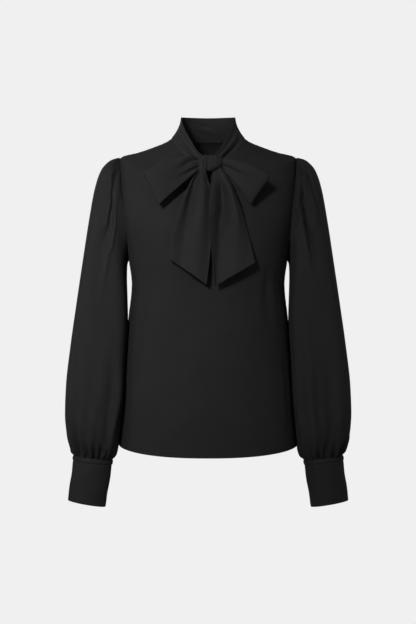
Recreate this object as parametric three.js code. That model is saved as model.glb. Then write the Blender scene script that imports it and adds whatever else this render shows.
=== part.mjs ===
// Tie neck blouse in its worn shape, with nobody in it: front, back, two bishop sleeves gathered into deep
// cuffs that button at the back, and a standing neckband whose ends are tied in a bow with two loops and two
// tails.
// Millimetres. +Z is up, the front faces -Y, and the wearer's right side is at -X.
// The origin is the middle of the neck, level with the shoulders, where the neck and shoulders hold the blouse.
import * as THREE from 'three';

const CLOTH = 1.2; // one layer of crepe with its seam allowances
const DOUBLE = 1.8; // neckband, cuffs and tie: folded cloth with a stiffener
const SEAM = 0.3; // gap between two pieces at a seam
const CREPE = { color: 0x262626, roughness: 0.72, metalness: 0 };
const BUTTON = { color: 0x1b1b1b, roughness: 0.35, metalness: 0 };

const DEGREE = Math.PI / 180;
const TURN = 2 * Math.PI;
const TO_THE_LEFT = new THREE.Vector3(1, 0, 0); // the wearer's left
const TO_THE_FRONT = new THREE.Vector3(0, -1, 0);
const TO_THE_BACK = new THREE.Vector3(0, 1, 0);

/** A table as a list of rows with named columns. */
function rowsOf(names, rows) {
  return rows.map((row) => Object.fromEntries(names.map((name, column) => [name, row[column]])));
}

// Rings of the body, from the hem up to the neck seam. up is the way from the hem, measured up the side.
// wide, front and back are how far a ring reaches to its side, front and back. square above 2 makes it boxier
// than an ellipse, dip bends it from its side to its front and back, and sag lowers it between them, where the
// shoulders fall away.
const TORSO = rowsOf(['up', 'wide', 'sideZ', 'front', 'frontZ', 'back', 'backZ', 'square', 'dip', 'sag'], [
  [0, 169.5, -564, 118, -583, 106, -580, 2.05, 1.2, 0],
  [60, 165.5, -505, 116, -521, 104, -518, 2.08, 1.3, 0],
  [150, 159, -415, 112, -425, 99, -423, 2.1, 1.5, 0],
  [240, 151, -325, 110, -330, 93, -329, 2.15, 2, 0],
  [303, 144.8, -262, 112, -263, 90, -263, 2.2, 2, 0],
  [350, 150.3, -217, 118, -214, 95, -215, 2.3, 2, 0],
  [395, 157, -172, 118, -166, 100, -168, 2.35, 2, 0],
  [455, 166, -112, 105, -112, 103, -108, 2.3, 2, 2],
  [505, 169, -62, 93, -77, 99, -62, 2.15, 2, 5],
  [527, 168.5, -41, 89, -67, 94, -45, 2.05, 2, 7],
  [545, 166.5, -23, 86, -60, 87, -28, 1.95, 2, 7],
  [585, 128, -10.5, 80.5, -52, 74, -8, 1.95, 2, 4],
  [615, 96, 1, 77, -47.5, 65, 5, 2, 2, 2],
  [640, 73, 11, 74, -43, 57, 14, 2, 2, 0],
]);
const UNDERARM = 350;
const SHOULDER = 545;
const NECK = 640;
const ARMHOLE_TURN = 20 * DEGREE; // half the armhole's width, as a turn round the body
const ARMHOLE_ROUND = 0.5;
const SLIT_BOTTOM = 470; // the neck slit under the bow runs from here to the neck seam
const SLIT_HALF = 0.4;

// Rings of a sleeve, from the armhole down to the cuff seam. down is the way along the outer edge. Each ring
// spans from its outer point to its inner point, halfDepth to the front and back, with its middle at forward.
const SLEEVE = rowsOf(['down', 'outerX', 'outerZ', 'innerX', 'innerZ', 'halfDepth', 'forward'], [
  [0, 166.5, -23, 150.6, -217, 45, 2],
  [5, 171, -20.5, 152, -219, 48, 2],
  [22, 187, -28.5, 153, -222, 54, 2],
  [45, 202.5, -46, 153.6, -226, 57, 3],
  [85, 214.5, -82, 154, -234, 59, 4],
  [140, 224, -136, 154.2, -250, 60, 5],
  [213, 234.5, -208, 154.4, -284, 60, 7],
  [300, 247, -294, 156, -335, 61, 10],
  [390, 259.5, -384, 160.3, -402, 62, 13],
  [460, 267, -453, 165.3, -467, 62, 16],
  [512, 269, -505, 169.6, -519, 59, 18],
  [553, 265.8, -546, 172.6, -557, 51, 20],
  [579, 259, -570.5, 176, -580, 39, 21.5],
  [594, 253.2, -584, 180.4, -592.6, 29.5, 22.5],
]);
const SLEEVE_END = 594;
const SLEEVE_SQUARE = 2.25; // above 2 it makes the sleeve's rings boxier than an ellipse
const CAP_BLEND = 22; // how far down the sleeve still takes its shape from the armhole

// Soft pleats from the sleeve head. turn is in degrees from the top of the sleeve, positive to the front, and
// drift is how far a pleat wanders from there as it runs down. start is where it is fully formed, end where it
// has faded. A depth below 0 is a ridge.
const HEAD_PLEATS = rowsOf(['turn', 'drift', 'wide', 'deep', 'start', 'end'], [
  [8, 8, 11, 3, 20, 120],
  [37, 34, 12.5, 5.6, 16, 215],
  [60, 33, 12.5, -3, 30, 310],
  [80, 30, 12, 3, 32, 130],
  [-20, -12, 11, 3.6, 20, 150],
  [-46, -24, 12.5, 5, 20, 230],
  [-80, -22, 12, 2.8, 32, 140],
]);
const PLEAT_DRIFT = 80; // a pleat has wandered all its drift this far down
const PLEAT_RIDGE = 0.9; // how much of a ridge stands on each side of a pleat

// Gathers at the cuff: GATHERS waves round the seam, whose lengths up the sleeve repeat in this order.
const GATHERS = 12;
const GATHER_LENGTHS = [64, 105, 50, 190, 72, 88, 46];
const GATHER_DEPTH = 2.1; // half of the way from a gather's crest to its trough
const SEAM_GATHER = 0.45; // share of that depth which is left in the seam itself
const GATHER_RISE = 5; // how far above the seam the gathers are fully formed
const BODY_SIDE_GATHER = 0.25; // share of the depth where the sleeve hangs beside the body

// A cuff is a strip whose outer end laps over its inner end at the back, towards the little finger.
const CUFF_TOP = { outerX: 253.6, outerZ: -584.5, innerX: 180, innerZ: -593.2, halfDepth: 30, forward: 22.6 };
const CUFF_FOOT = { outerX: 264.4, outerZ: -668.4, innerX: 193.2, innerZ: -681, halfDepth: 29.5, forward: 28 };
const CUFF_LAP_TURN = -118; // where the cuff's outer end lies, in degrees from its outer point
const CUFF_LAP = 30; // how far the ends lap, in degrees
const CUFF_LIFT_FROM = 0.8; // the outer end starts to rise over the inner one here, as a share of the strip
const CUFF_LIFT_OVER = 0.12;
const BUTTON_PLACES = [0.27, 0.74]; // down the cuff
const BUTTON_RADIUS = 5.5;
const BUTTON_THICK = 2.4;
const BUTTON_EDGE = 0.6; // its rounded rim, and the depth of its dish

// Top edge of the neckband. turn is in degrees from the middle of the back.
const BAND_TOP = rowsOf(['turn', 'x', 'y', 'z'], [
  [0, 0, 45, 58.5],
  [30, 26, 39.5, 58.5],
  [60, 44.5, 23, 57.5],
  [90, 51.8, 0, 55],
  [110, 50.5, -21, 45],
  [130, 43.5, -43, 26],
  [150, 32, -61, 4.5],
  [165, 21, -72, -14.5],
  [178, 6, -79, -28],
]);
const BAND_END = 176;
const BAND_FLAT = 110; // from here to its end the band is pulled into creases
const BAND_SEAM = 0.42; // gap between the band and the body's top edge
const BAND_HOLLOW = 4; // how far the standing band curves in between its edges
const BAND_CREASE = 0.045; // depth of the creases that run to the knot, as a share of the band's height

// The knot, as sections from its left end to its right end.
const KNOT = rowsOf(['x', 'halfHeight', 'halfDepth', 'z'], [
  [-14, 11, 8, -38],
  [-10, 15, 12.4, -39.5],
  [-5, 16, 14.4, -40],
  [-1, 16, 12.2, -40],
  [5, 16, 14.6, -40],
  [14, 16, 14, -40],
  [20, 15, 12.4, -39.5],
  [25, 11, 8, -38.5],
]);
const KNOT_Y = -93.5;
const KNOT_SQUARE = 2.5;
const KNOT_LEAN = 0.3; // the knot leans with the chest, its foot further forward

// Each loop of the bow: its root at the knot and its outer fold, as ends of the strip's upper and lower edges.
// swell is how far the upper edge arches between them.
const LOOPS = {
  bow_loop_right: {
    root: { upper: [-15, -30], lower: [-15, -50], y: -96, halfDepth: 6 },
    fold: { upper: [-118, -57], lower: [-89, -115], y: -115, halfDepth: 9 },
    swell: 14,
  },
  bow_loop_left: {
    root: { upper: [26.2, -31], lower: [26.2, -51], y: -96, halfDepth: 6 },
    fold: { upper: [112, -65], lower: [80, -111], y: -115, halfDepth: 9 },
    swell: 6,
  },
};
const LOOP_DROP = 7; // how much lower the rear leaf of a loop hangs
const LOOP_ROUND = 0.6; // below 1 it makes a loop's outer fold rounder
const LOOP_REACH = 0.8; // below 1 the strip runs out sooner from the knot
const LOOP_BELLY = 3; // how much further apart the leaves are halfway out
const LOOP_PLEAT = 1.7; // depth of the pleats at the root
const LOOP_CUP = 3; // how far the front leaf's edges lean back

// Left and right edges of each tail, from the knot down to its slanting end, and the depth of its folds. The
// right one comes over the knot's end.
const TAIL_COLUMNS = ['row', 'leftX', 'leftZ', 'rightX', 'rightZ', 'y', 'fold'];
const TAILS = {
  bow_tail_right: rowsOf(TAIL_COLUMNS, [
    [0, -19, -32, -11.5, -33, -105.8, 0.2],
    [1, -18, -44, -7.5, -45, -110.3, 0.3],
    [2, -18, -55, -3.5, -57, -112, 0.6],
    [3, -29, -69, -0.5, -71, -114, 1.7],
    [4, -41, -95, 6, -92, -120, 4],
    [5, -53.5, -128, 6.5, -134, -127.5, 4.2],
    [6, -65.5, -166, 5, -190, -133, 3.2],
    [7, -73.5, -215, -3, -264, -136, 2],
  ]),
  bow_tail_left: rowsOf(TAIL_COLUMNS, [
    [0, 12, -56.6, 22.5, -54.9, -99, 0.2],
    [1, 11, -72, 36, -68, -108, 1.6],
    [2, 9.5, -95, 49, -93, -116, 4],
    [3, 10, -136, 62, -130, -125, 4],
    [4, 9.5, -195, 74, -175, -131, 3],
    [5, 12.5, -267, 86, -224, -133, 2],
  ]),
};
const TAIL_NARROW = 0.25; // share of a tail's narrow folds beside its wide ones
const TAIL_STEPS = 2.4; // rows of points for each row of the table

const mix = (a, b, share) => a + (b - a) * share;
const clamp = (value, low, high) => Math.min(high, Math.max(low, value));
const smooth = (share) => share * share * (3 - 2 * share);
const fade = (share) => smooth(clamp(share, 0, 1));
const power = (value, exponent) => Math.sign(value) * Math.abs(value) ** exponent;

/** The value of one named column at a place along a table, on a smooth curve that never overshoots its rows. */
function along(table, key, name, place) {
  const last = table.length - 1;
  const at = clamp(place, table[0][key], table[last][key]);
  let row = 0;
  while (row < last - 1 && table[row + 1][key] < at) row += 1;
  const slope = (i) => (table[i + 1][name] - table[i][name]) / (table[i + 1][key] - table[i][key]);
  const tangent = (i) => {
    if (i === 0) return slope(0);
    if (i === last) return slope(last - 1);
    const before = slope(i - 1);
    const after = slope(i);
    return before * after > 0 ? (2 * before * after) / (before + after) : 0;
  };
  const length = table[row + 1][key] - table[row][key];
  const t = (at - table[row][key]) / length;
  const rise = table[row + 1][name] - table[row][name];
  return (
    table[row][name] +
    rise * smooth(t) +
    length * t * (1 - t) * ((1 - t) * tangent(row) - t * tangent(row + 1))
  );
}

/** A point on the body. turn is 0 at the left side, a quarter turn at the middle of the front. */
function bodyPoint(turn, up) {
  const value = (name) => along(TORSO, 'up', name, up);
  const cosine = Math.cos(turn);
  const sine = Math.sin(turn);
  const half = sine < 0 ? 'back' : 'front';
  const round = 2 / value('square');
  const sag = value('sag') * (2 * sine * cosine) ** 2;
  return new THREE.Vector3(
    value('wide') * power(cosine, round),
    -value(half) * power(sine, round),
    mix(value('sideZ'), value(`${half}Z`), Math.abs(sine) ** value('dip')) - sag,
  );
}

/** Half of the armhole's width at a height, as a turn round the body. */
function armholeTurn(up) {
  if (up <= UNDERARM || up >= SHOULDER) return 0;
  return ARMHOLE_TURN * Math.sin((Math.PI * (up - UNDERARM)) / (SHOULDER - UNDERARM)) ** ARMHOLE_ROUND;
}

/** The direction across a surface given as a function of two numbers, on the same side of it as out. */
function normalOf(surface, [a, b], [stepA, stepB], out) {
  const alongA = surface(a + stepA, b).sub(surface(a - stepA, b));
  const alongB = surface(a, b + stepB).sub(surface(a, b - stepB));
  const normal = alongA.cross(alongB).normalize();
  return normal.dot(out) < 0 ? normal.negate() : normal;
}

/** A point of the left armhole's edge, a seam gap off the body. turn goes from the top to the front. */
function armholePoint(turn) {
  const up = mix(UNDERARM, SHOULDER, (1 + Math.cos(turn)) / 2);
  const bodyTurn = Math.sign(Math.sin(turn)) * armholeTurn(up);
  const at = [bodyTurn, clamp(up, UNDERARM + 2, SHOULDER - 2)];
  return bodyPoint(bodyTurn, up).addScaledVector(normalOf(bodyPoint, at, [0.01, 2], TO_THE_LEFT), SEAM);
}

/** A point of an upright oval ring that spans from an outer point to an inner point. */
function ringPoint(ring, turn, square = 2) {
  const half = (1 + power(Math.cos(turn), 2 / square)) / 2;
  return new THREE.Vector3(
    mix(ring.innerX, ring.outerX, half),
    -ring.forward - ring.halfDepth * power(Math.sin(turn), 2 / square),
    mix(ring.innerZ, ring.outerZ, half),
  );
}

/** How strongly a pleat shows at a distance in degrees from its middle: a trough with soft ridges beside it. */
function troughAt(distance, wide) {
  const square = PLEAT_RIDGE * (distance / wide) ** 2;
  return (1 - square) * Math.exp(-square);
}

/** Shortest way between two directions, in degrees. */
const apart = (a, b) => ((a - b + 540) % 360) - 180;

/** How far the cloth of a sleeve stands out of its smooth ring, at a turn in degrees and a way down. */
function sleeveFold(degrees, down) {
  let out = 0;
  for (const pleat of HEAD_PLEATS) {
    const strength = fade(down / pleat.start) * (1 - fade(down / pleat.end));
    const middle = pleat.turn + pleat.drift * fade(down / PLEAT_DRIFT);
    out -= pleat.deep * strength * troughAt(apart(degrees, middle), pleat.wide);
  }
  const wave = (((degrees % 360) + 360) % 360) / (360 / GATHERS);
  const length = GATHER_LENGTHS[Math.floor(wave) % GATHER_LENGTHS.length];
  const left = SLEEVE_END - down;
  const strength = fade(1 - left / length) * mix(SEAM_GATHER, 1, clamp(left / GATHER_RISE, 0, 1));
  const side = mix(BODY_SIDE_GATHER, 1, clamp(0.5 + Math.cos(degrees * DEGREE), 0, 1));
  return out - GATHER_DEPTH * strength * side * (1 - Math.cos(TURN * wave));
}

/** A point on the left sleeve, with its pleats and gathers. */
function sleevePoint(turn, down) {
  const ring = {};
  for (const name of ['outerX', 'outerZ', 'innerX', 'innerZ', 'halfDepth', 'forward']) {
    ring[name] = along(SLEEVE, 'down', name, down);
  }
  const middle = ringPoint(ring, 0).add(ringPoint(ring, Math.PI)).multiplyScalar(0.5);
  middle.y = -ring.forward;
  const point = ringPoint(ring, turn, SLEEVE_SQUARE);
  const outward = point.clone().sub(middle).normalize();
  point.addScaledVector(outward, sleeveFold(turn / DEGREE, down));
  const share = fade(down / CAP_BLEND);
  return share < 1 ? armholePoint(turn).lerp(point, share) : point;
}

/** A point on the left cuff. degrees runs past a full turn, where the outer end laps over the inner end. */
function cuffPoint(degrees, share) {
  const ring = {};
  for (const name of Object.keys(CUFF_TOP)) ring[name] = mix(CUFF_TOP[name], CUFF_FOOT[name], share);
  const way = (degrees - CUFF_LAP_TURN) / (360 + CUFF_LAP);
  const lift = (DOUBLE + SEAM) * fade((way - CUFF_LIFT_FROM) / CUFF_LIFT_OVER);
  const point = ringPoint(ring, degrees * DEGREE);
  const middle = ringPoint(ring, 0).add(ringPoint(ring, Math.PI)).multiplyScalar(0.5);
  middle.y = -ring.forward;
  return point.addScaledVector(point.clone().sub(middle).normalize(), lift);
}

/** A point on the neckband. turn is in degrees from the middle of the back, share is 0 at the seam. */
function bandPoint(turn, share) {
  const side = Math.sign(turn) || 1;
  const way = Math.abs(turn);
  const seam = bodyPoint((way - 90) * DEGREE, NECK);
  const top = new THREE.Vector3(
    along(BAND_TOP, 'turn', 'x', way),
    along(BAND_TOP, 'turn', 'y', way),
    along(BAND_TOP, 'turn', 'z', way),
  );
  const height = top.distanceTo(seam);
  const up = top.clone().sub(seam).normalize();
  const point = seam.addScaledVector(up, BAND_SEAM).lerp(top, share);
  const inward = new THREE.Vector3(-point.x, -point.y, 0).normalize();
  const toKnot = fade((way - BAND_FLAT) / (BAND_END - BAND_FLAT));
  point.addScaledVector(inward, BAND_HOLLOW * (1 - toKnot) * 4 * share * (1 - share));
  const crease = Math.cos(TURN * 2 * share) * Math.sin(Math.PI * share);
  point.addScaledVector(inward, BAND_CREASE * height * toKnot * crease);
  point.x *= side;
  return point;
}

/** A point on a loop. way runs out on the front leaf and back on the rear one; across is 0 at the top. */
function loopPoint(loop, way, across) {
  const reach = Math.sin(Math.PI * way) ** LOOP_REACH;
  const edge = (name) => [0, 1].map((axis) => mix(loop.root[name][axis], loop.fold[name][axis], reach));
  const [upper, lower] = [edge('upper'), edge('lower')];
  const leaf = power(Math.cos(Math.PI * way), LOOP_ROUND);
  const drop = LOOP_DROP * reach * smooth((1 - leaf) / 2);
  const arch = loop.swell * Math.sin(Math.PI * reach) * (1 - across) - drop;
  const belly = LOOP_BELLY * Math.sin(Math.PI * reach);
  const halfDepth = mix(loop.root.halfDepth, loop.fold.halfDepth, smooth(reach)) + belly;
  const pleat = LOOP_PLEAT * (1 - reach) * Math.cos(TURN * 1.5 * across);
  const cup = LOOP_CUP * reach * Math.max(leaf, 0) * (2 * across - 1) ** 2;
  const y = mix(loop.root.y, loop.fold.y, reach) - leaf * (halfDepth - pleat) + cup;
  return new THREE.Vector3(mix(upper[0], lower[0], across), y, mix(upper[1], lower[1], across) + arch);
}

/** A point on a tail of the bow. across is 0 at its left edge. */
function tailPoint(table, down, across) {
  const value = (name) => along(table, 'row', name, down * (table.length - 1));
  const wide = Math.cos(TURN * (1.5 * across - 0.25));
  const narrow = Math.cos(TURN * 3 * across);
  const ridge = value('fold') * (wide - TAIL_NARROW * narrow);
  return new THREE.Vector3(
    mix(value('leftX'), value('rightX'), across),
    value('y') - ridge,
    mix(value('leftZ'), value('rightZ'), across),
  );
}

/** The outer and inner points of a sheet and its four-sided faces, from functions of column and row. */
function sheetGrid(columns, rows, closed, pointAt, normalAt, thick) {
  const outer = [];
  const inner = [];
  for (let row = 0; row <= rows; row += 1) {
    for (let column = 0; column < columns + (closed ? 0 : 1); column += 1) {
      const point = pointAt(column, row);
      outer.push(point);
      inner.push(point.clone().addScaledVector(normalAt(column, row), -thick));
    }
  }
  const stride = columns + (closed ? 0 : 1);
  const quads = [];
  for (let row = 0; row < rows; row += 1) {
    for (let column = 0; column < columns; column += 1) {
      const here = row * stride + column;
      const beside = row * stride + ((column + 1) % stride);
      quads.push([here, beside, beside + stride, here + stride]);
    }
  }
  return { outer, inner, quads };
}

/** A closed wall from a sheet: its outer face, its inner face, and a rim round every free edge. */
function wall({ outer, inner, quads }) {
  const count = outer.length;
  const faces = [];
  const free = new Map();
  for (const [a, b, c, d] of quads) {
    const nearer = outer[a].distanceTo(outer[c]) <= outer[b].distanceTo(outer[d]);
    const pair = nearer ? [[a, b, c], [a, c, d]] : [[a, b, d], [b, c, d]];
    for (const [p, q, r] of pair) {
      faces.push([p, q, r], [r + count, q + count, p + count]);
    }
    for (const [from, to] of [[a, b], [b, c], [c, d], [d, a]]) {
      if (!free.delete(`${to}_${from}`)) free.set(`${from}_${to}`, [from, to]);
    }
  }
  for (const [from, to] of free.values()) {
    faces.push([to, from, from + count], [to, from + count, to + count]);
  }
  return solid([...outer, ...inner], faces);
}

/** A geometry from points and triangles, turned so that its faces point out. */
function solid(points, faces) {
  let volume = 0;
  for (const [a, b, c] of faces) volume += points[a].dot(points[b].clone().cross(points[c]));
  const index = faces.flatMap(([a, b, c]) => (volume < 0 ? [a, c, b] : [a, b, c]));
  const geometry = new THREE.BufferGeometry();
  const places = points.flatMap((point) => point.toArray());
  geometry.setAttribute('position', new THREE.Float32BufferAttribute(places, 3));
  geometry.setIndex(index);
  geometry.computeVertexNormals();
  return geometry;
}

/** The same geometry on the other side of the body. */
function mirrored(geometry) {
  const copy = geometry.clone();
  copy.scale(-1, 1, 1);
  const index = copy.getIndex();
  for (let face = 0; face < index.count; face += 3) {
    const kept = index.getX(face + 1);
    index.setX(face + 1, index.getX(face + 2));
    index.setX(face + 2, kept);
  }
  copy.computeVertexNormals();
  return copy;
}

// Heights at which the front and the back have a row of points, closer together at the armhole's ends.
const BODY_ROWS = [
  0, 60, 140, 220, 285, 325, 350, 353, 361, 378, 405, 437, 470, 497, 517, 532, 541, 545, 556, 572, 592, 615,
  640,
];

/** The front (side 1) or the back (side -1), from side seam to side seam. The front has the neck slit. */
function bodyPanel(side, columns) {
  const rows = BODY_ROWS.length - 1;
  const turnAt = (column, row) => {
    const edge = armholeTurn(BODY_ROWS[row]);
    return side * mix(edge, Math.PI - edge, column / columns);
  };
  const pointAt = (column, row) => {
    const point = bodyPoint(turnAt(column, row), BODY_ROWS[row]);
    point.y -= (side * SEAM) / 2;
    return point;
  };
  const normalAt = (column, row) => {
    const at = [turnAt(column, row), clamp(BODY_ROWS[row], 1, NECK - 1)];
    return normalOf(bodyPoint, at, [0.004, 1], pointAt(column, row).setZ(0));
  };
  const sheet = sheetGrid(columns, rows, false, pointAt, normalAt, CLOTH);
  if (side > 0) cutSlit(sheet, columns, BODY_ROWS.indexOf(SLIT_BOTTOM));
  return wall(sheet);
}

/** Opens the middle column of a sheet from a row up to its top edge. */
function cutSlit(sheet, columns, fromRow) {
  const stride = columns + 1;
  const middle = columns / 2;
  const twin = new Map();
  const rows = sheet.outer.length / stride;
  for (let row = fromRow + 1; row < rows; row += 1) {
    const old = row * stride + middle;
    twin.set(old, sheet.outer.length);
    for (const layer of [sheet.outer, sheet.inner]) {
      layer.push(layer[old].clone().setX(-SLIT_HALF));
      layer[old].x = SLIT_HALF;
    }
  }
  sheet.quads = sheet.quads.map((quad, number) => {
    const onFarSide = number % columns >= middle;
    return onFarSide ? quad.map((corner) => twin.get(corner) ?? corner) : quad;
  });
}

// Places down the sleeve where it has a ring of points.
const SLEEVE_RINGS = [0, 8, 15, 26, 40, 57, 80, 112, 158, 220, 300, 385, 455, 510, 550, 576, 594];
const SLEEVE_SIDES = 48;

/** The left sleeve, a tube from the armhole to the cuff seam. */
function sleeve() {
  const turnAt = (column) => (TURN * column) / SLEEVE_SIDES;
  const pointAt = (column, row) => sleevePoint(turnAt(column), SLEEVE_RINGS[row]);
  const normalAt = (column, row) => {
    const down = clamp(SLEEVE_RINGS[row], 1.5, SLEEVE_END - 1.5);
    const ringMiddle = sleevePoint(0, down).add(sleevePoint(Math.PI, down)).multiplyScalar(0.5);
    return normalOf(sleevePoint, [turnAt(column), down], [0.02, 1.5], pointAt(column, row).sub(ringMiddle));
  };
  return wall(sheetGrid(SLEEVE_SIDES, SLEEVE_RINGS.length - 1, true, pointAt, normalAt, CLOTH));
}

/** The left cuff, a strip wound once round the wrist with its ends lapped. */
function cuff() {
  const columns = 34;
  const rows = 3;
  const degreesAt = (column) => CUFF_LAP_TURN + ((360 + CUFF_LAP) * column) / columns;
  const pointAt = (column, row) => cuffPoint(degreesAt(column), row / rows);
  const normalAt = (column, row) => {
    const opposite = cuffPoint(degreesAt(column) + 180, row / rows);
    return normalOf(cuffPoint, [degreesAt(column), row / rows], [1, 0.02], pointAt(column, row).sub(opposite));
  };
  return wall(sheetGrid(columns, rows, false, pointAt, normalAt, DOUBLE));
}

/** The neckband, from behind the knot round the back of the neck and back to the knot. */
function neckband() {
  const columns = 44;
  const rows = 4;
  const turnAt = (column) => mix(-BAND_END, BAND_END, column / columns);
  const pointAt = (column, row) => bandPoint(turnAt(column), row / rows);
  const normalAt = (column, row) => {
    const at = [turnAt(column), clamp(row / rows, 0.02, 0.98)];
    return normalOf(bandPoint, at, [0.5, 0.02], pointAt(column, row).setZ(0));
  };
  return wall(sheetGrid(columns, rows, false, pointAt, normalAt, DOUBLE));
}

/** A loop of the bow, a strip that turns back on itself at its outer fold. */
function bowLoop(loop) {
  const columns = 22;
  const rows = 7;
  const pointAt = (column, row) => loopPoint(loop, column / columns, row / rows);
  const normalAt = (column, row) => {
    const way = clamp(column / columns, 0.01, 0.99);
    const across = clamp(row / rows, 0.02, 0.98);
    const otherLeaf = loopPoint(loop, 1 - way, across);
    const out = pointAt(column, row).sub(otherLeaf).addScaledVector(TO_THE_LEFT, Math.sign(loop.fold.upper[0]));
    return normalOf((a, b) => loopPoint(loop, a, b), [way, across], [0.008, 0.02], out);
  };
  return wall(sheetGrid(columns, rows, false, pointAt, normalAt, DOUBLE));
}

/** A tail of the bow, a strip that widens from the knot to its slanting end. */
function bowTail(table) {
  const columns = 10;
  const rows = Math.round(TAIL_STEPS * (table.length - 1));
  const pointAt = (column, row) => tailPoint(table, row / rows, column / columns);
  const normalAt = (column, row) => {
    const at = [clamp(row / rows, 0.01, 0.99), clamp(column / columns, 0.01, 0.99)];
    return normalOf((a, b) => tailPoint(table, a, b), at, [0.01, 0.01], TO_THE_FRONT);
  };
  return wall(sheetGrid(columns, rows, false, pointAt, normalAt, DOUBLE));
}

/** The knot: cloth wrapped once over the middle of the bow, a closed form from its sections. */
function knot() {
  const sides = 16;
  const points = KNOT.flatMap((section) =>
    Array.from({ length: sides }, (_, corner) => {
      const turn = (TURN * corner) / sides;
      const rise = section.halfHeight * power(Math.cos(turn), 2 / KNOT_SQUARE);
      const forward = section.halfDepth * power(Math.sin(turn), 2 / KNOT_SQUARE);
      return new THREE.Vector3(section.x, KNOT_Y - forward + KNOT_LEAN * rise, section.z + rise);
    }),
  );
  const faces = [];
  const last = KNOT.length - 1;
  for (let corner = 0; corner < sides; corner += 1) {
    const next = (corner + 1) % sides;
    for (let section = 0; section < last; section += 1) {
      const [a, b] = [section * sides + corner, section * sides + next];
      faces.push([a, b, b + sides], [a, b + sides, a + sides]);
    }
    faces.push([points.length, next, corner], [points.length + 1, last * sides + corner, last * sides + next]);
  }
  for (const end of [KNOT[0], KNOT[last]]) points.push(new THREE.Vector3(end.x, KNOT_Y, end.z));
  return solid(points, faces);
}

/** A round shirt button that lies on the cuff's lap, with a dished face. */
function cuffButton(share) {
  const degrees = CUFF_LAP_TURN + 360 + CUFF_LAP / 2;
  const centre = cuffPoint(degrees, share);
  const out = normalOf(cuffPoint, [degrees, share], [1, 0.02], TO_THE_BACK);
  const profile = [
    [0, 0],
    [BUTTON_RADIUS - BUTTON_EDGE, 0],
    [BUTTON_RADIUS, BUTTON_EDGE],
    [BUTTON_RADIUS, BUTTON_THICK - BUTTON_EDGE],
    [BUTTON_RADIUS - BUTTON_EDGE, BUTTON_THICK],
    [BUTTON_RADIUS - 3 * BUTTON_EDGE, BUTTON_THICK - BUTTON_EDGE],
    [0, BUTTON_THICK - BUTTON_EDGE],
  ].map(([radius, height]) => new THREE.Vector2(radius, height));
  const geometry = new THREE.LatheGeometry(profile, 14);
  geometry.applyQuaternion(new THREE.Quaternion().setFromUnitVectors(new THREE.Vector3(0, 1, 0), out));
  const seat = centre.addScaledVector(out, SEAM);
  geometry.translate(seat.x, seat.y, seat.z);
  return geometry;
}

const blouse = new THREE.Group();

/** Adds one named piece to the blouse. */
function sewOn(name, geometry, look) {
  const piece = new THREE.Mesh(geometry, new THREE.MeshStandardMaterial(look));
  piece.name = name;
  blouse.add(piece);
}

/** Adds a piece of the wearer's left side and its twin on the right side. */
function sewOnPair(name, geometry, look) {
  sewOn(`${name}_left`, geometry, look);
  sewOn(`${name}_right`, mirrored(geometry), look);
}

sewOn('front', bodyPanel(1, 28), CREPE);
sewOn('back', bodyPanel(-1, 22), CREPE);
sewOnPair('sleeve', sleeve(), CREPE);
sewOnPair('cuff', cuff(), CREPE);
BUTTON_PLACES.forEach((share, number) => sewOnPair(`cuff_button_${number + 1}`, cuffButton(share), BUTTON));
sewOn('neckband', neckband(), CREPE);
sewOn('bow_knot', knot(), CREPE);
for (const [name, loop] of Object.entries(LOOPS)) sewOn(name, bowLoop(loop), CREPE);
for (const [name, table] of Object.entries(TAILS)) sewOn(name, bowTail(table), CREPE);

export default blouse;
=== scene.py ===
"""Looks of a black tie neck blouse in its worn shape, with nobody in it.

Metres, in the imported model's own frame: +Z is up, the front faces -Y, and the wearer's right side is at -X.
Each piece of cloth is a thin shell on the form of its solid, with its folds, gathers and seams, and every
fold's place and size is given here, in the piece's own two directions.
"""
from __future__ import annotations

import logging
import math
from collections.abc import Sequence
from dataclasses import dataclass, field
from enum import Enum

import bpy
import numpy as np
from mathutils import Matrix, Vector


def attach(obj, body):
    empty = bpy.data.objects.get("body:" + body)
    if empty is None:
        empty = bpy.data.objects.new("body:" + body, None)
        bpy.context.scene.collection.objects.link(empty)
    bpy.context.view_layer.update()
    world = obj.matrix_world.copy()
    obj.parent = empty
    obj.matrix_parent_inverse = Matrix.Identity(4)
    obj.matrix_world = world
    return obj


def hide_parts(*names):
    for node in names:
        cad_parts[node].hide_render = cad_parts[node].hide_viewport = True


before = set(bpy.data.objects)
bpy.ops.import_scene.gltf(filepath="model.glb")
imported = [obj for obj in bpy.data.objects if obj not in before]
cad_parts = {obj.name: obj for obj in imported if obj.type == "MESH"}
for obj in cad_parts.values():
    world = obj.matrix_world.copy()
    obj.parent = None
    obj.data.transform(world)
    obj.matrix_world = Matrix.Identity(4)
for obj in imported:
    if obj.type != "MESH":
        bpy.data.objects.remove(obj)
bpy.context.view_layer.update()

LOG = logging.getLogger("blouse")
Array = np.ndarray
Socket = bpy.types.NodeSocket
Colour = tuple[float, float, float]
Place = tuple[float, float, float]
Path = tuple[tuple[float, float], ...]

DEGREE = math.pi / 180
TURN = 2 * math.pi
SEAM = 0.0003  # gap between two pieces at a seam
CLOTH = 0.0006  # one layer of crepe
DOUBLE = 0.0011  # neckband, cuffs and bow: two layers, pressed flat
ROOT = "root"  # the one body of the blouse
HEM_STITCHES = 0.012  # how far the stitches lie from the edge
CUFF_STITCHES = 0.0105
CLOTH_EDGE = 62 * DEGREE  # sharper edges of cloth stay sharp
BUTTON_EDGE = 40 * DEGREE
THREAD_EDGE = 60 * DEGREE
END_STEPS = (0.0006, 0.0013, 0.0022, 0.0034, 0.005)  # first places from each end of a piece


class Side(Enum):
    """The wearer's side that a piece lies on, as the sign of its X."""

    LEFT = 1
    RIGHT = -1


class Face(Enum):
    """The front or the back of the body, as the sign of its turn."""

    FRONT = 1
    BACK = -1


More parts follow.
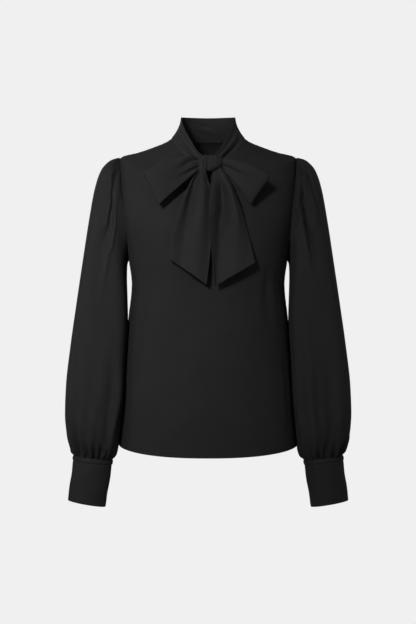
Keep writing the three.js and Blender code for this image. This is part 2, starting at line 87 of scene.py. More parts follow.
def mix(first: Array | float, last: Array | float, share: Array | float) -> Array | float:
    """Value that lies at a share of the way from the first to the last."""
    return first + (last - first) * share


def fade(share: Array | float) -> Array | float:
    """Soft step from 0 to 1 over a share from 0 to 1."""
    held = np.clip(share, 0, 1)
    return held * held * (3 - 2 * held)


def power(value: Array, exponent: Array | float) -> Array:
    """Power of a value's size, with the value's sign."""
    return np.sign(value) * np.abs(value) ** exponent


def curve(keys: Sequence[float], values: Sequence[float], place: Array) -> Array:
    """Reads a smooth curve that never overshoots its points.

    Args:
        keys: Places of the points, rising.
        values: Their values.
        place: Where to read the curve.

    Returns:
        The values at the places, held still outside the first and the last point.
    """
    at = np.asarray(keys, float)
    rise = np.asarray(values, float)
    step = np.diff(at)
    slope = np.diff(rise) / step
    tangent = np.zeros(len(at))
    tangent[0] = slope[0]
    tangent[-1] = slope[-1]
    product = slope[:-1] * slope[1:]
    total = slope[:-1] + slope[1:]
    same_way = product > 0
    tangent[1:-1][same_way] = 2 * product[same_way] / total[same_way]
    held = np.clip(place, at[0], at[-1])
    row = np.clip(np.searchsorted(at, held, side="right") - 1, 0, len(at) - 2)
    way = (held - at[row]) / step[row]
    bend = (1 - way) * tangent[row] - way * tangent[row + 1]
    return rise[row] + (rise[row + 1] - rise[row]) * fade(way) + step[row] * way * (1 - way) * bend


@dataclass(frozen=True)
class Table:
    """Rows of sizes with named columns. The first column is the place of each row."""

    names: tuple[str, ...]
    rows: tuple[tuple[float, ...], ...]

    def at(self, name: str, place: Array) -> Array:
        """Reads one column on a smooth curve through its rows."""
        column = self.names.index(name)
        return curve([row[0] for row in self.rows], [row[column] for row in self.rows], place)


def graded(length: float, step: float, fine: Sequence[float] = END_STEPS) -> Array:
    """Places along a length, even in the middle and closer together near both ends.

    Args:
        length: The whole length.
        step: About the way between two places in the middle.
        fine: The first places from each end.

    Returns:
        The places, from 0 to the length.
    """
    start = [0.0, *fine]
    steps = max(2, round((length - 2 * fine[-1]) / step))
    middle = np.linspace(fine[-1], length - fine[-1], steps + 1)[1:-1]
    return np.concatenate([start, middle, length - np.array(start[::-1])])


@dataclass(frozen=True)
class Fold:
    """One soft fold, along a path in a piece's own two directions.

    The path gives where it lies across the piece at places along the piece. A depth below 0 is a ridge.
    """

    path: Path
    wide: tuple[float, float]  # half its width at its two ends
    deep: float
    begin: float = 0.25  # share of its length over which it forms
    end: float = 0.4  # share of its length over which it fades
    lip: float = 0.3  # height of the ridges beside it, as a share of its depth
    lip_place: float = 1.9  # how far out they lie, in half widths
    lip_sharp: float = 1.6
    probe: float = 0.01  # share of its length over which its slant is measured

    def offset(
        self, along: Array, across: Array, scale: Array | float, period: float = 0.0, stretch: float = 1.0
    ) -> Array:
        """How far the fold moves the cloth out.

        Args:
            along: Places along the piece.
            across: Places across it.
            scale: Metres to one unit across.
            period: The units once round a tube, or 0 on an open piece.
            stretch: Metres to one unit along.

        Returns:
            The way out of the smooth form, in metres.
        """
        keys, places = zip(*self.path)
        length = keys[-1] - keys[0]
        share = (along - keys[0]) / length
        strength = fade(share / self.begin) * fade((1 - share) / self.end)
        way = across - curve(keys, places, along)
        if period:
            way = (way + period / 2) % period - period / 2
        step = self.probe * length
        ahead = curve(keys, places, along + step)
        behind = curve(keys, places, along - step)
        slant = (ahead - behind) / (2 * step) * scale / stretch
        away = np.abs(way * scale) / np.sqrt(1 + slant**2)
        reach = away / mix(*self.wide, np.clip(share, 0, 1))
        profile = np.exp(-(reach**2)) - self.lip * np.exp(-((reach - self.lip_place) ** 2) * self.lip_sharp)
        return -self.deep * strength * profile


def mesh_object(name: str, points: Array, faces: Array, cut: Array | None = None) -> bpy.types.Object:
    """A new object from points and four-sided faces.

    Args:
        name: The piece's name.
        points: One row of coordinates for each point.
        faces: Four point numbers for each face.
        cut: Where each corner of each face lies on the flat cloth, in metres.

    Returns:
        The object, linked to the scene.
    """
    mesh = bpy.data.meshes.new(name)
    mesh.from_pydata(points.tolist(), [], faces.tolist())
    if cut is not None:
        mesh.uv_layers.new(name="cloth").data.foreach_set("uv", cut.ravel())
    mesh.update()
    piece = bpy.data.objects.new(name, mesh)
    bpy.context.scene.collection.objects.link(piece)
    return piece


def deselect_all() -> None:
    """Deselects everything."""
    bpy.ops.object.select_all(action="DESELECT")


def work_on(piece: bpy.types.Object) -> None:
    """Selects one object alone and makes it the active one.

    Args:
        piece: The object.
    """
    deselect_all()
    piece.select_set(True)
    bpy.context.view_layer.objects.active = piece


def apply_modifier(piece: bpy.types.Object, kind: str, **settings: object) -> None:
    """Adds a modifier and applies it.

    Args:
        piece: The object.
        kind: The modifier's type.
        settings: Its settings, by name.
    """
    work_on(piece)
    modifier = piece.modifiers.new(kind.lower(), kind)
    for name, value in settings.items():
        setattr(modifier, name, value)
    bpy.ops.object.modifier_apply(modifier=modifier.name)


@dataclass
class ClothGrid:
    """Points on a piece of cloth, row after row along it, that can be pushed out and sewn into a shell."""

    points: Array
    outward: Array  # roughly outward, for each point or for all of them
    closed: bool = False  # the last column joins the first, as on a tube
    slit: tuple[int, int] | None = None  # the middle column is open above this row: (column, row)
    slit_half: float = 0.0004
    cut: Array = field(init=False)

    def __post_init__(self) -> None:
        """Measures where each point lies on the flat cloth, before any fold."""
        ring = self.points
        if self.closed:
            ring = np.concatenate([ring, ring[:, :1]], axis=1)
        steps_across = np.linalg.norm(np.diff(ring, axis=1), axis=2)
        steps_along = np.linalg.norm(np.diff(ring, axis=0), axis=2)
        across = np.concatenate([np.zeros((len(ring), 1)), np.cumsum(steps_across, axis=1)], axis=1)
        along = np.concatenate([np.zeros((1, ring.shape[1])), np.cumsum(steps_along, axis=0)], axis=0)
        self.cut = np.stack([across - across[:, ring.shape[1] // 2, None], along], axis=2)

    def normals(self) -> Array:
        """The outward direction at each point.

        Returns:
            A direction of length 1 for each point.
        """
        if self.closed:
            ring = np.concatenate([self.points[:, -1:], self.points, self.points[:, :1]], axis=1)
            across = ring[:, 2:] - ring[:, :-2]
        else:
            across = np.gradient(self.points, axis=1)
        normal = np.cross(across, np.gradient(self.points, axis=0))
        normal /= np.maximum(np.linalg.norm(normal, axis=2, keepdims=True), 1e-12)
        return normal * np.sign(np.sum(normal * self.outward))

    def push(self, way: Array) -> None:
        """Moves each point out of the cloth by its own way."""
        self.points = self.points + self.normals() * way[..., None]

    def mirror(self) -> None:
        """Turns a piece of the left side into one of the right side."""
        self.points[..., 0] *= -1
        self.outward = self.outward * [-1, 1, 1]

    def sew(self, name: str, thick: float) -> bpy.types.Object:
        """Makes the grid a closed shell of cloth.

        Args:
            name: The piece's name.
            thick: The cloth's thickness, which grows inwards.

        Returns:
            The piece.
        """
        rows, columns = self.points.shape[:2]
        near = np.arange(rows * columns).reshape(rows, columns)
        points = self.points.reshape(-1, 3)
        far = near
        if self.slit:
            middle, row = self.slit
            far = near.copy()
            far[row + 1:, middle] = rows * columns + np.arange(rows - row - 1)
            twins = self.points[row + 1:, middle].copy()
            twins[:, 0] = -self.slit_half
            points = points.copy()
            points[near[row + 1:, middle], 0] = self.slit_half
            points = np.concatenate([points, twins])
            faces = np.concatenate([quads(near[:, :middle + 1]), quads(far[:, middle:])], axis=1)
        else:
            faces = quads(np.concatenate([near, near[:, :1]], axis=1) if self.closed else near)
        cut = quads(np.arange(self.cut.shape[0] * self.cut.shape[1]).reshape(self.cut.shape[:2]))
        sample = self.points[rows // 2, columns // 3: columns // 3 + 2]
        across = sample[1] - sample[0]
        along = self.points[rows // 2 + 1, columns // 3] - sample[0]
        if np.dot(np.cross(across, along), self.normals()[rows // 2, columns // 3]) < 0:
            faces = faces[..., ::-1]
            cut = cut[..., ::-1]
        flat = self.cut.reshape(-1, 2)[cut.reshape(-1)]
        piece = mesh_object(name, points, faces.reshape(-1, 4), flat)
        apply_modifier(piece, "SOLIDIFY", thickness=thick, offset=-1)
        work_on(piece)
        bpy.ops.object.shade_smooth_by_angle(angle=CLOTH_EDGE)
        return piece


def quads(numbers: Array) -> Array:
    """The four point numbers of each cell of a grid of point numbers."""
    return np.stack([numbers[:-1, :-1], numbers[:-1, 1:], numbers[1:, 1:], numbers[1:, :-1]], axis=-1)


@dataclass(frozen=True)
class NodeGroup:
    """A shader node group that puts out masks, heights and values for several materials."""

    tree: bpy.types.ShaderNodeTree

    @classmethod
    def with_sockets(cls, name: str, inputs: dict[str, float | None], outputs: Sequence[str]) -> NodeGroup:
        """Makes an empty group.

        Args:
            name: The group's name.
            inputs: Each input's name and default value, or None for a vector.
            outputs: The names of its outputs, all plain values.

        Returns:
            The group, with its input and output nodes.
        """
        tree = bpy.data.node_groups.new(name, "ShaderNodeTree")
        for title, value in inputs.items():
            kind = "NodeSocketVector" if value is None else "NodeSocketFloat"
            socket = tree.interface.new_socket(name=title, in_out="INPUT", socket_type=kind)
            if value is not None:
                socket.default_value = value
        for title in outputs:
            tree.interface.new_socket(name=title, in_out="OUTPUT", socket_type="NodeSocketFloat")
        tree.nodes.new("NodeGroupInput")
        tree.nodes.new("NodeGroupOutput")
        return cls(tree)

    def input(self, name: str) -> Socket:
        """One of the group's inputs, as seen from inside."""
        return self.tree.nodes["Group Input"].outputs[name]

    def put_out(self, name: str, source: Socket) -> None:
        """Joins a socket to one of the group's outputs."""
        self.tree.links.new(source, self.tree.nodes["Group Output"].inputs[name])


@dataclass(frozen=True)
class Wiring:
    """Short ways to add and join the nodes of one tree."""

    tree: bpy.types.NodeTree

    def join(self, source: Socket | float | Sequence[float], target: Socket) -> None:
        """Joins a socket to another, or sets the other to a value.

        Args:
            source: The socket or value.
            target: The input that it goes to.
        """
        if isinstance(source, Socket):
            self.tree.links.new(source, target)
        else:
            target.default_value = source

    def math(self, operation: str, *values: Socket | float) -> Socket:
        """Adds a math node.

        Args:
            operation: What it does.
            values: Up to three values.

        Returns:
            Its result.
        """
        node = self.tree.nodes.new("ShaderNodeMath")
        node.operation = operation
        for value, socket in zip(values, node.inputs):
            self.join(value, socket)
        return node.outputs[0]

    def spread(self, value: Socket, low: float, high: float, first: float, last: float) -> Socket:
        """Adds a soft map of a value's range onto another range.

        Args:
            value: The value.
            low: Start of its range.
            high: End of its range.
            first: Start of the new range.
            last: End of the new range.

        Returns:
            The mapped value.
        """
        node = self.tree.nodes.new("ShaderNodeMapRange")
        node.interpolation_type = "SMOOTHSTEP"
        self.join(value, node.inputs["Value"])
        for name, number in {"From Min": low, "From Max": high, "To Min": first, "To Max": last}.items():
            node.inputs[name].default_value = number
        return node.outputs["Result"]

    def noise(self, where: Socket, scale: float, detail: float = 3, rough: float = 0.5) -> Socket:
        """Adds a noise texture.

        Args:
            where: The place that it reads.
            scale: Waves a metre.
            detail: Its number of finer layers.
            rough: How strong those are.

        Returns:
            The noise, from 0 to 1.
        """
        node = self.tree.nodes.new("ShaderNodeTexNoise")
        self.join(where, node.inputs["Vector"])
        node.inputs["Scale"].default_value = scale
        node.inputs["Detail"].default_value = detail
        node.inputs["Roughness"].default_value = rough
        return node.outputs["Fac"]

    def parts(self, where: Socket) -> tuple[Socket, Socket, Socket]:
        """Splits a place into its three parts, of which the first two are across and along on flat cloth.

        Args:
            where: The place.

        Returns:
            Its parts.
        """
        node = self.tree.nodes.new("ShaderNodeSeparateXYZ")
        self.join(where, node.inputs[0])
        return tuple(node.outputs)

    def blend(self, share: Socket, first: Colour | Socket, last: Colour) -> Socket:
        """Adds a mix of two colours.

        Args:
            share: The share of the last colour.
            first: The colour at a share of 0.
            last: The colour at a share of 1.

        Returns:
            The mixed colour.
        """
        node = self.tree.nodes.new("ShaderNodeMix")
        node.data_type = "RGBA"
        self.join(share, node.inputs["Factor"])
        self.join(first if isinstance(first, Socket) else (*first, 1), node.inputs["A"])
        self.join((*last, 1), node.inputs["B"])
        return node.outputs["Result"]

    def bump(self, height: Socket, distance: float, strength: float) -> Socket:
        """Adds a bump from a height.

        Args:
            height: The height.
            distance: Metres to one unit of it.
            strength: How strongly it shows.

        Returns:
            The bumped normal.
        """
        node = self.tree.nodes.new("ShaderNodeBump")
        node.inputs["Distance"].default_value = distance
        node.inputs["Strength"].default_value = strength
        self.join(height, node.inputs["Height"])
        return node.outputs["Normal"]

    def group(self, source: NodeGroup, **values: Socket | float) -> bpy.types.Node:
        """Places a node group with its own values.

        Args:
            source: The group.
            values: The values of its inputs, by name.

        Returns:
            The node.
        """
        node = self.tree.nodes.new("ShaderNodeGroup")
        node.node_tree = source.tree
        for name, value in values.items():
            self.join(value, node.inputs[name])
        return node


def start_material(name: str) -> tuple[bpy.types.Material, bpy.types.Node, Wiring]:
    """Makes a new material.

    Args:
        name: Its name.

    Returns:
        The material, its shader and the wiring of its nodes.
    """
    material = bpy.data.materials.new(name)
    material.use_nodes = True
    return material, material.node_tree.nodes["Principled BSDF"], Wiring(material.node_tree)


@dataclass(frozen=True)
class CrepeWaves:
    """Waves a metre of each noise in the crepe."""

    wander: float = 420
    pebble: float = 900
    rumple: float = 34
    cloud: float = 7
    speck: float = 1300
    matt: float = 18


def crepe_grain() -> NodeGroup:
    """The fine pebbled weave of crepe, with soft rumples and uneven colouring.

    Returns:
        The group. Height is in metres, Tone and Matt go from 0 to 1.
    """
    waves = CrepeWaves()
    inputs = {"Vector": None, "Thread": 0.0005, "Grain": 0.00003, "Rumple": 0.00012}
    group = NodeGroup.with_sockets("crepe_grain", inputs, ("Height", "Tone", "Matt"))
    wire = Wiring(group.tree)
    where = group.input("Vector")
    across, along, _ = wire.parts(where)
    wander = wire.math("MULTIPLY", wire.noise(where, waves.wander, 2), 4.0)
    turns = wire.math("DIVIDE", TURN, group.input("Thread"))
    warp = wire.math("SINE", wire.math("ADD", wire.math("MULTIPLY", across, turns), wander))
    weft = wire.math("SINE", wire.math("ADD", wire.math("MULTIPLY", along, turns), wander))
    threads = wire.math("MULTIPLY", wire.math("MULTIPLY", warp, weft), 0.35)
    pebbles = wire.math("ADD", threads, wire.noise(where, waves.pebble, 4, 0.6))
    grain = wire.math("MULTIPLY", pebbles, group.input("Grain"))
    rumple = wire.math("MULTIPLY", wire.noise(where, waves.rumple, 2, 0.45), group.input("Rumple"))
    group.put_out("Height", wire.math("ADD", grain, rumple))
    cloudy = wire.spread(wire.noise(where, waves.cloud, 3), 0.3, 0.7, 0.0, 1.0)
    speck = wire.spread(wire.noise(where, waves.speck, 2), 0.3, 0.7, 0.0, 1.0)
    tone = wire.math("ADD", wire.math("MULTIPLY", cloudy, 0.6), wire.math("MULTIPLY", speck, 0.4))
    group.put_out("Tone", tone)
    group.put_out("Matt", wire.spread(wire.noise(where, waves.matt, 3), 0.3, 0.7, 0.0, 1.0))
    return group


def stitch_row() -> NodeGroup:
    """A straight row of stitches along the cloth, at one place across or along it.

    Returns:
        The group. Thread is 1 on the thread and 0 beside it, and Dent is 1 in the groove that it draws in.
    """
    inputs = {"Vector": None, "Place": 0.01, "Stitch": 0.0026, "Width": 0.0005}
    group = NodeGroup.with_sockets("stitch_row", inputs, ("Thread", "Dent"))
    wire = Wiring(group.tree)
    across, along, _ = wire.parts(group.input("Vector"))
    away = wire.math("ABSOLUTE", wire.math("SUBTRACT", along, group.input("Place")))
    near = wire.math("DIVIDE", away, group.input("Width"))
    line = wire.spread(near, 0.4, 1.0, 1.0, 0.0)
    phase = wire.math("FRACT", wire.math("DIVIDE", across, group.input("Stitch")))
    dash = wire.spread(wire.math("ABSOLUTE", wire.math("SUBTRACT", phase, 0.5)), 0.3, 0.42, 1.0, 0.0)
    group.put_out("Thread", wire.math("MULTIPLY", line, dash))
    group.put_out("Dent", wire.spread(near, 0.5, 3.0, 1.0, 0.0))
    return group


@dataclass(frozen=True)
class CrepeFinish:
    """Black crepe with a soft sheen. Each piece has its own row of stitches, if it has one. A piece that is
    given a lighter black than the rest has painted light in its colour.
    """

    name: str
    # the black of the cloth, and its lighter end; where a piece gets lighter ones than the rest, that is
    # painted light
    dye_and_painted_light: Colour = (0.0195, 0.0192, 0.0198)
    faded_and_painted_light: Colour = (0.0235, 0.0232, 0.024)
    sewn: Colour = (0.03, 0.03, 0.031)  # the stitches
    rough: tuple[float, float] = (0.82, 0.9)
    gloss: float = 0.18
    sheen: float = 0.02
    sheen_rough: float = 0.45
    sheen_tint: Colour = (0.8, 0.8, 0.85)
    thread: float = 0.0005
    grain: float = 0.00003
    rumple: float = 0.00012
    relief: float = 0.8  # how strongly the weave and the stitches show
    stitches: float | None = None  # how far along the piece its row of stitches lies
    dent: float = 0.0003  # depth of the groove that they draw in
    raised: float = 0.00025

    def build(self, grain: NodeGroup, row: NodeGroup) -> bpy.types.Material:
        """Makes the material.

        Args:
            grain: The crepe's weave.
            row: A row of stitches.

        Returns:
            The material.
        """
        material, shader, wire = start_material(self.name)
        cloth = material.node_tree.nodes.new("ShaderNodeUVMap")
        cloth.uv_map = "cloth"
        where = cloth.outputs["UV"]
        weave = wire.group(grain, Vector=where, Thread=self.thread, Grain=self.grain, Rumple=self.rumple)
        paint = wire.blend(weave.outputs["Tone"], self.dye_and_painted_light, self.faded_and_painted_light)
        height = weave.outputs["Height"]
        if self.stitches is not None:
            stitch = wire.group(row, Vector=where, Place=self.stitches)
            dent = wire.math("MULTIPLY", stitch.outputs["Dent"], -self.dent)
            raised = wire.math("MULTIPLY", stitch.outputs["Thread"], self.raised)
            height = wire.math("ADD", height, wire.math("ADD", dent, raised))
            paint = wire.blend(stitch.outputs["Thread"], paint, self.sewn)
        wire.join(paint, shader.inputs["Base Color"])
        wire.join(wire.spread(weave.outputs["Matt"], 0.0, 1.0, *self.rough), shader.inputs["Roughness"])
        wire.join(wire.bump(height, 1.0, self.relief), shader.inputs["Normal"])
        shader.inputs["Specular IOR Level"].default_value = self.gloss
        shader.inputs["Sheen Weight"].default_value = self.sheen
        shader.inputs["Sheen Roughness"].default_value = self.sheen_rough
        shader.inputs["Sheen Tint"].default_value = (*self.sheen_tint, 1)
        return material


@dataclass(frozen=True)
class ButtonFinish:
    """Black moulded button with fine scratches and small worn patches."""

    name: str = "button_black"
    colour: Colour = (0.012, 0.012, 0.013)
    worn: Colour = (0.03, 0.03, 0.031)
    rough: tuple[float, float] = (0.24, 0.4)
    cloud: float = 260  # waves a metre of its dull patches
    scratch: float = 2600
    scratch_deep: float = 0.00004

    def build(self) -> bpy.types.Material:
        """Makes the material.

        Returns:
            The material.
        """
        material, shader, wire = start_material(self.name)
        where = material.node_tree.nodes.new("ShaderNodeTexCoord").outputs["Object"]
        cloudy = wire.noise(where, self.cloud, 4, 0.6)
        fine = wire.noise(where, self.scratch, 3, 0.6)
        paint = wire.blend(wire.spread(fine, 0.5, 0.8, 0.0, 0.7), self.colour, self.worn)
        wire.join(paint, shader.inputs["Base Color"])
        wire.join(wire.spread(cloudy, 0.3, 0.7, *self.rough), shader.inputs["Roughness"])
        wire.join(wire.bump(fine, self.scratch_deep, 0.5), shader.inputs["Normal"])
        return material


@dataclass(frozen=True)
class ThreadFinish:
    """Black sewing thread, twisted."""

    name: str = "thread_black"
    shaded: Colour = (0.0175, 0.0175, 0.0182)  # between its turns
    colour: Colour = (0.025, 0.025, 0.026)
    twists: float = 1900.0  # turns a metre
    rough: float = 0.6
    sheen: float = 0.2

    def build(self) -> bpy.types.Material:
        """Makes the material.

        Returns:
            The material.
        """
        material, shader, wire = start_material(self.name)
        where = material.node_tree.nodes.new("ShaderNodeTexCoord").outputs["Object"]
        across, _, up = wire.parts(where)
        twist = wire.math("SINE", wire.math("MULTIPLY", wire.math("ADD", across, up), self.twists * TURN))
        paint = wire.blend(wire.spread(twist, -1.0, 1.0, 0.0, 1.0), self.shaded, self.colour)
        wire.join(paint, shader.inputs["Base Color"])
        shader.inputs["Roughness"].default_value = self.rough
        shader.inputs["Sheen Weight"].default_value = self.sheen
        return material


@dataclass(frozen=True)
class Finishes:
    """The materials of the blouse, each built once."""

    front: bpy.types.Material
    back: bpy.types.Material
    sleeve: bpy.types.Material
    cuff: bpy.types.Material
    band: bpy.types.Material
    bow: bpy.types.Material
    button: bpy.types.Material
    thread: bpy.types.Material

    @classmethod
    def build(cls) -> Finishes:
        """Builds every material.

        Returns:
            The materials.
        """
        grain = crepe_grain()
        row = stitch_row()
        # the band and the bow are given a lighter black than the rest of the same crepe: painted light,
        # standing in for the light that they catch
        band = CrepeFinish(
            "crepe_band_painted_light", dye_and_painted_light=(0.025, 0.0247, 0.0254), faded_and_painted_light=(0.029, 0.0287, 0.0295), rumple=0.0001
        )
        bow = CrepeFinish(
            "crepe_bow_painted_light", dye_and_painted_light=(0.0228, 0.0225, 0.0232), faded_and_painted_light=(0.027, 0.0267, 0.0275), rumple=0.00008
        )
        return cls(
            front=CrepeFinish("crepe_front", stitches=HEM_STITCHES).build(grain, row),
            back=CrepeFinish("crepe_back", stitches=HEM_STITCHES).build(grain, row),
            sleeve=CrepeFinish("crepe_sleeve").build(grain, row),
            cuff=CrepeFinish("crepe_cuff", stitches=CUFF_STITCHES, rumple=0.00018).build(grain, row),
            band=band.build(grain, row),
            bow=bow.build(grain, row),
            button=ButtonFinish().build(),
            thread=ThreadFinish().build(),
        )


def hang(
    piece: bpy.types.Object, node: str, finish: bpy.types.Material, *, stands_for: bool = True
) -> None:
    """Dresses a piece and ties it to its place in the model.

    Args:
        piece: The new piece.
        node: The solid that it belongs to.
        finish: Its material.
        stands_for: Whether the piece stands in the solid's place.
    """
    piece.data.materials.clear()
    piece.data.materials.append(finish)
    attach(piece, ROOT)
    if stands_for:
        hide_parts(node)
    LOG.info("%s: %d faces", piece.name, len(piece.data.polygons))


@dataclass(frozen=True)
class BodyForm:
    """The smooth form of the body, from the hem up to the neck seam.

    up is the way from the hem, measured up the side. wide, front and back are how far a ring reaches to its
    side, front and back. square above 2 makes it boxier than an ellipse, dip bends it from its side to its
    front and back, and sag lowers it between them.
    """

    rings: Table = Table(
        ("up", "wide", "sideZ", "front", "frontZ", "back", "backZ", "square", "dip", "sag"),
        (
            (0.0, 0.1695, -0.564, 0.118, -0.583, 0.106, -0.58, 2.35, 1.2, 0.0),
            (0.06, 0.1655, -0.505, 0.116, -0.521, 0.104, -0.518, 2.4, 1.3, 0.0),
            (0.15, 0.159, -0.415, 0.112, -0.425, 0.099, -0.423, 2.45, 1.5, 0.0),
            (0.24, 0.151, -0.325, 0.11, -0.33, 0.093, -0.329, 2.5, 2.0, 0.0),
            (0.303, 0.1448, -0.262, 0.112, -0.263, 0.09, -0.263, 2.5, 2.0, 0.0),
            (0.35, 0.1503, -0.217, 0.118, -0.214, 0.095, -0.215, 2.5, 2.0, 0.0),
            (0.395, 0.157, -0.172, 0.118, -0.166, 0.1, -0.168, 2.7, 2.0, 0.0),
            (0.455, 0.166, -0.112, 0.105, -0.112, 0.103, -0.108, 2.8, 2.0, 0.002),
            (0.505, 0.169, -0.062, 0.093, -0.077, 0.099, -0.062, 2.6, 2.0, 0.005),
            (0.527, 0.1685, -0.041, 0.089, -0.067, 0.094, -0.045, 2.4, 2.0, 0.007),
            (0.545, 0.1665, -0.023, 0.086, -0.06, 0.087, -0.028, 2.2, 2.0, 0.007),
            (0.585, 0.128, -0.0105, 0.0805, -0.052, 0.074, -0.008, 1.95, 2.0, 0.004),
            (0.615, 0.096, 0.001, 0.077, -0.0475, 0.065, 0.005, 2.0, 2.0, 0.002),
            (0.63, 0.0785, 0.0085, 0.0752, -0.0448, 0.06, 0.0103, 2.0, 2.0, 0.0007),
            (0.64, 0.0706, 0.0145, 0.074, -0.043, 0.057, 0.014, 2.0, 2.0, 0.0),
        ),
    )
    underarm: float = 0.35  # where the armhole starts
    shoulder: float = 0.545  # and where it ends
    neck: float = 0.64
    armhole_half: float = 20 * DEGREE  # half its width, as a turn round the body
    armhole_round: float = 0.5  # below 1 it is fuller than a sine at both ends
    probe: float = 0.002  # way up over which a slope is measured
    probe_turn: float = 0.01

    def point(self, turn: Array, up: Array) -> Array:
        """Points on the body.

        Args:
            turn: Turns round it, from 0 at the left side to a quarter turn at the middle of the front.
            up: Places up from the hem.

        Returns:
            The points.
        """
        sine = np.sin(turn)
        cosine = np.cos(turn)
        behind = sine < 0
        rings = self.rings
        depth = np.where(behind, rings.at("back", up), rings.at("front", up))
        middle_height = np.where(behind, rings.at("backZ", up), rings.at("frontZ", up))
        side_height = rings.at("sideZ", up)
        bend = 2 / rings.at("square", up)
        sag = rings.at("sag", up) * (2 * sine * cosine) ** 2
        height = mix(side_height, middle_height, np.abs(sine) ** rings.at("dip", up)) - sag
        return np.stack(
            [rings.at("wide", up) * power(cosine, bend), -depth * power(sine, bend), height], axis=-1
        )

    def armhole_turn(self, up: Array) -> Array:
        """Half of the armhole's width at a height, as a turn round the body."""
        share = np.clip((up - self.underarm) / (self.shoulder - self.underarm), 0, 1)
        return self.armhole_half * np.maximum(np.sin(math.pi * share), 0) ** self.armhole_round

    def armhole_point(self, turn: Array) -> Array:
        """Points of the left armhole's edge, a seam gap off the body.

        Args:
            turn: Turns round the armhole, from its top to its front.

        Returns:
            The points.
        """
        up = mix(self.underarm, self.shoulder, (1 + np.cos(turn)) / 2)
        around = np.sign(np.sin(turn)) * self.armhole_turn(up)
        held = np.clip(up, self.underarm + self.probe, self.shoulder - self.probe)
        step_round = self.point(around + self.probe_turn, held) - self.point(around - self.probe_turn, held)
        step_up = self.point(around, held + self.probe) - self.point(around, held - self.probe)
        normal = np.cross(step_round, step_up)
        normal /= np.linalg.norm(normal, axis=-1, keepdims=True)
        normal *= np.where(normal[..., :1] < 0, -1, 1)
        return self.point(around, up) + normal * SEAM


FRONT_FOLDS = (
    # drag lines from the bust down to the sides
    Fold(((0.19, 0.80), (0.28, 0.80), (0.348, 0.77)), (0.013, 0.008), 0.0022, 0.6, 0.3),
    Fold(((0.02, 0.60), (0.10, 0.59), (0.20, 0.61)), (0.008, 0.007), -0.0011, 0.4, 0.5),
    Fold(((0.10, 2.52), (0.24, 2.48), (0.345, 2.52)), (0.017, 0.009), 0.0012, 0.5, 0.4),
    # long soft falls in the lower half
    Fold(((0.0, 1.02), (0.12, 1.0), (0.26, 0.94)), (0.024, 0.014), 0.0012, 0.02, 0.8),
    Fold(((0.0, 1.42), (0.10, 1.44), (0.20, 1.47)), (0.026, 0.014), 0.0008, 0.02, 0.8),
    Fold(((0.0, 2.08), (0.12, 2.1), (0.24, 2.16)), (0.024, 0.014), 0.0010, 0.02, 0.8),
    # creases that fan out of the knot on both sides
    Fold(((0.600, 2.44), (0.622, 2.36), (0.638, 2.24)), (0.0045, 0.0025), 0.0009, 0.6, 0.1),
    Fold(((0.604, 0.72), (0.624, 0.80), (0.638, 0.92)), (0.0045, 0.0025), 0.0008, 0.6, 0.1),
)
BACK_FOLDS = (
    # falls beside both sides and in the middle
    Fold(((0.12, -0.62), (0.24, -0.66), (0.34, -0.60)), (0.016, 0.009), 0.0028, 0.5, 0.4),
    Fold(((0.10, -2.56), (0.24, -2.48), (0.34, -2.54)), (0.016, 0.009), 0.0030, 0.5, 0.4),
    Fold(((0.0, -1.08), (0.14, -1.12), (0.28, -1.2)), (0.024, 0.013), 0.0026, 0.02, 0.8),
    Fold(((0.0, -1.60), (0.12, -1.57), (0.30, -1.6)), (0.026, 0.014), 0.0020, 0.02, 0.8),
    Fold(((0.0, -2.06), (0.12, -2.02), (0.22, -1.94)), (0.024, 0.013), 0.0024, 0.02, 0.8),
    # drag lines behind the armholes and below the neck seam
    Fold(((0.40, -0.74), (0.46, -0.52)), (0.010, 0.006), 0.0020, 0.6, 0.3),
    Fold(((0.40, -2.42), (0.46, -2.62)), (0.010, 0.006), 0.0022, 0.6, 0.3),
    Fold(((0.56, -1.1), (0.635, -1.25)), (0.014, 0.008), 0.0012, 0.6, 0.3),
    Fold(((0.56, -2.04), (0.635, -1.89)), (0.014, 0.008), 0.0012, 0.6, 0.3),
)


